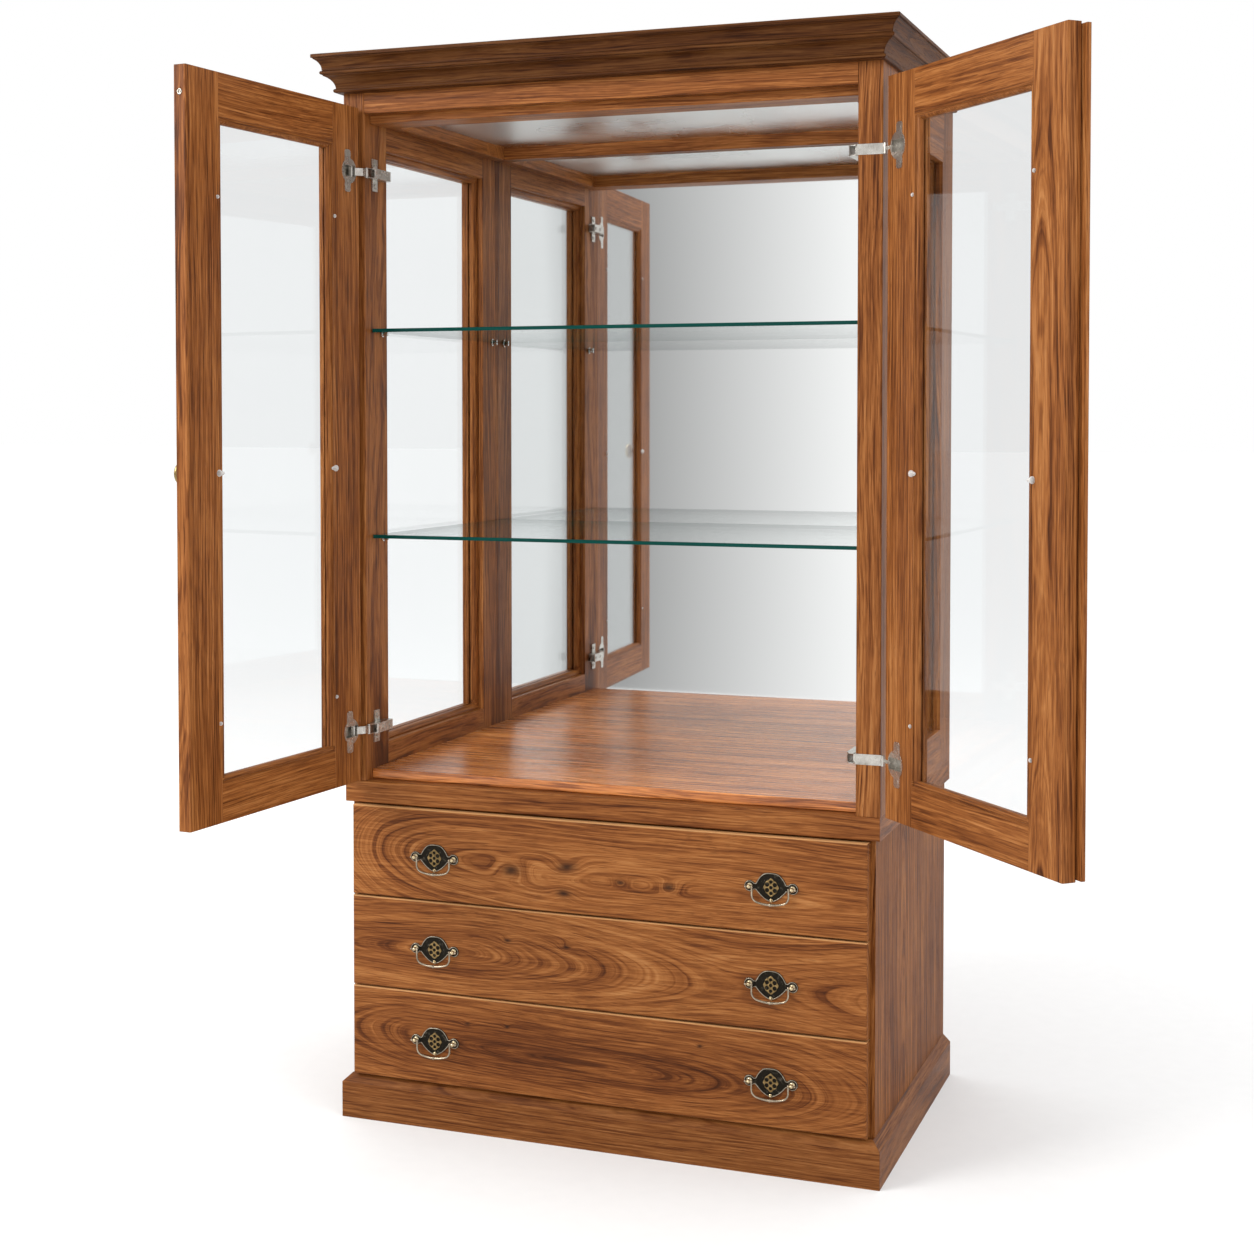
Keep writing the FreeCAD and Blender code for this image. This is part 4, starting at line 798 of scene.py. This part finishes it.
def drop_stud(origin, out, point, size, tail):
    """Clear stud: rings out to a drop shape that points one way, under a low dome."""
    angle = np.linspace(-math.pi, math.pi, 48, endpoint=False)
    share = np.sin(np.linspace(0.0, math.pi / 2, 12))
    radius = size * (1 + tail * np.exp(-(angle / 0.42) ** 2))
    a = share[:, None] * (radius * np.cos(angle))[None]
    b = share[:, None] * (radius * np.sin(angle))[None]
    rise = size * 0.75 * np.sqrt(np.clip(1 - share ** 2, 0, 1))[:, None] + 0.8
    flat = a[..., None] * point + b[..., None] * np.array([0.0, 0.0, 1.0])
    front = origin + MM * (flat + rise[..., None] * out)
    foot = origin + MM * flat[-1]
    return np.concatenate([front, foot[None], np.broadcast_to(origin, (1, angle.size, 3))])


for side in ("left", "right"):
    run = np.array(DOOR_RUN[side])
    out = np.array(DOOR_OUT[side])
    knob_seat = seat(node_points(side + "_door_knob"), out)
    made_piece(side + "_door_turned_knob", [turned(knob_seat, out, KNOB_PROFILE, 56)], knob_brass,
               side + "_door", "knob_brass", side + "_door_knob")
    points = node_points(side + "_door_clips")
    lows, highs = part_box(side + "_door_glass")
    along = (points - (np.array(lows) + np.array(highs)) / 2) @ run
    forms = []
    for height, size, tail in STUD_ROWS:
        for way in (-1, 1):
            beside = (along * way > 0) & (along * way < 0.20)
            spot = points[beside & (np.abs(points[:, 2] - height) < 0.02)]
            forms.append(drop_stud(seat(spot, -out), -out, -way * run, size, tail))
    made_piece(side + "_door_studs", forms, stud_plastic, side + "_door", "fitting_steel",
               side + "_door_clips")

left_edge = np.array(DOOR_RUN["left"])
bush_points = node_points("left_door_clips")
bush_seat = seat(bush_points[bush_points[:, 2] > BUSH_ABOVE], left_edge)
made_piece("left_door_buffer_bush", [turned(bush_seat, left_edge, FERRULE_PROFILE, 32)],
           bush_nickel, "left_door", "fitting_steel", "left_door_clips")


def studio_floor():
    """A pale level floor that glows a little more far away, so that it meets the white air. It
    stops behind the camera, where only the mirror would see it."""
    reach, front = 60.0, -4.2
    mesh = bpy.data.meshes.new("studio_floor")
    grid_x, grid_y = np.meshgrid([-reach, 0.0, reach], [front, 0.0, reach], indexing="ij")
    points = np.stack([grid_x, grid_y, np.zeros_like(grid_x)], axis=-1).reshape(-1, 3)
    mesh.from_pydata(points.tolist(), [], weave(3, 3, False)[:, ::-1].tolist())
    made = bpy.data.objects.new("studio_floor", mesh)
    bpy.context.scene.collection.objects.link(made)
    r = new_recipe("studio_paper")
    tooth = r.noise(r.coords, 30.0, 2.0)
    colour = r.mix(tooth, (0.70, 0.70, 0.70, 1.0), (0.73, 0.73, 0.73, 1.0))
    far = r.between(r.vector("LENGTH", r.coords), 0.7, 3.5)
    seen = r.node("ShaderNodeLightPath").outputs["Is Camera Ray"]
    glow = r.math("MULTIPLY_ADD", far, r.math("MULTIPLY_ADD", seen, 0.14, 0.10),
                  r.math("MULTIPLY", seen, 0.15))
    paper = r.node("ShaderNodeBsdfDiffuse", inputs={"Color": colour}).outputs[0]
    lit = r.node("ShaderNodeEmission", inputs={"Color": WHITE, "Strength": glow}).outputs[0]
    shader = r.node("ShaderNodeAddShader", inputs={0: paper, 1: lit}).outputs[0]
    mesh.materials.append(r.finish(shader))


def studio_air():
    """White surroundings with a grey strip at the front left, which gives the mirror its soft slope
    from grey to white."""
    world = bpy.data.worlds.new("studio_air")
    bpy.context.scene.world = world
    r = Recipe(world, "Generated")
    x, y = r.split(r.coords)[:2]
    ahead = r.between(y, 0.25, -0.55, kind="LINEAR")
    slope = r.between(x, -0.345, -0.235, 0.38, 1.02, kind="LINEAR")
    beside = r.between(x, -0.385, -0.364, kind="LINEAR")
    slope = r.mix(beside, 0.90, slope, "FLOAT")
    level = r.mix(ahead, 0.92, slope, "FLOAT")
    seen = r.node("ShaderNodeLightPath").outputs["Is Camera Ray"]
    level = r.mix(seen, level, 1.0, "FLOAT")
    glow = r.node("ShaderNodeBackground", inputs={"Color": WHITE, "Strength": level}).outputs[0]
    r.node("ShaderNodeOutputWorld", inputs={"Surface": glow})


def area_light(name, place, aim, size, power, tint=(1.0, 1.0, 1.0), mirrored=True):
    """A soft rectangular light at a place, aimed at a point; one that isn't mirrored doesn't show
    in glass and metal."""
    data = bpy.data.lights.new(name, "AREA")
    data.shape = "RECTANGLE"
    data.size, data.size_y = size
    data.energy = power
    data.color = tint
    made = bpy.data.objects.new(name, data)
    made.visible_glossy = mirrored
    made.location = place
    made.rotation_euler = (Vector(aim) - Vector(place)).to_track_quat("-Z", "Y").to_euler()
    bpy.context.scene.collection.objects.link(made)


def photo_camera():
    """The photograph's camera: slightly tilted, with a small shift for the rest of the framing."""
    data = bpy.data.cameras.new("photo_view")
    data.sensor_width = 36.0
    data.lens = 55.92
    data.shift_y = -0.120
    made = bpy.data.objects.new("photo_view", data)
    made.location = (1.1306, -3.2068, 1.1976)
    made.rotation_euler = (math.radians(88.193), 0.0, math.radians(20.271))
    bpy.context.scene.collection.objects.link(made)
    bpy.context.scene.camera = made


studio_floor()
studio_air()
area_light("key", (-3.1, -3.3, 3.3), (0.0, 0.0, 0.9), (2.2, 2.2), 150.0, (1.0, 0.985, 0.96))
area_light("fill", (3.4, -2.4, 2.0), (0.1, 0.0, 0.9), (2.4, 2.4), 34.0, (0.97, 0.985, 1.0),
           mirrored=False)
area_light("over", (0.0, 0.2, 4.3), (0.0, 0.0, 0.8), (3.2, 2.6), 60.0, mirrored=False)
photo_camera()
bpy.context.scene.view_settings.view_transform = "Standard"
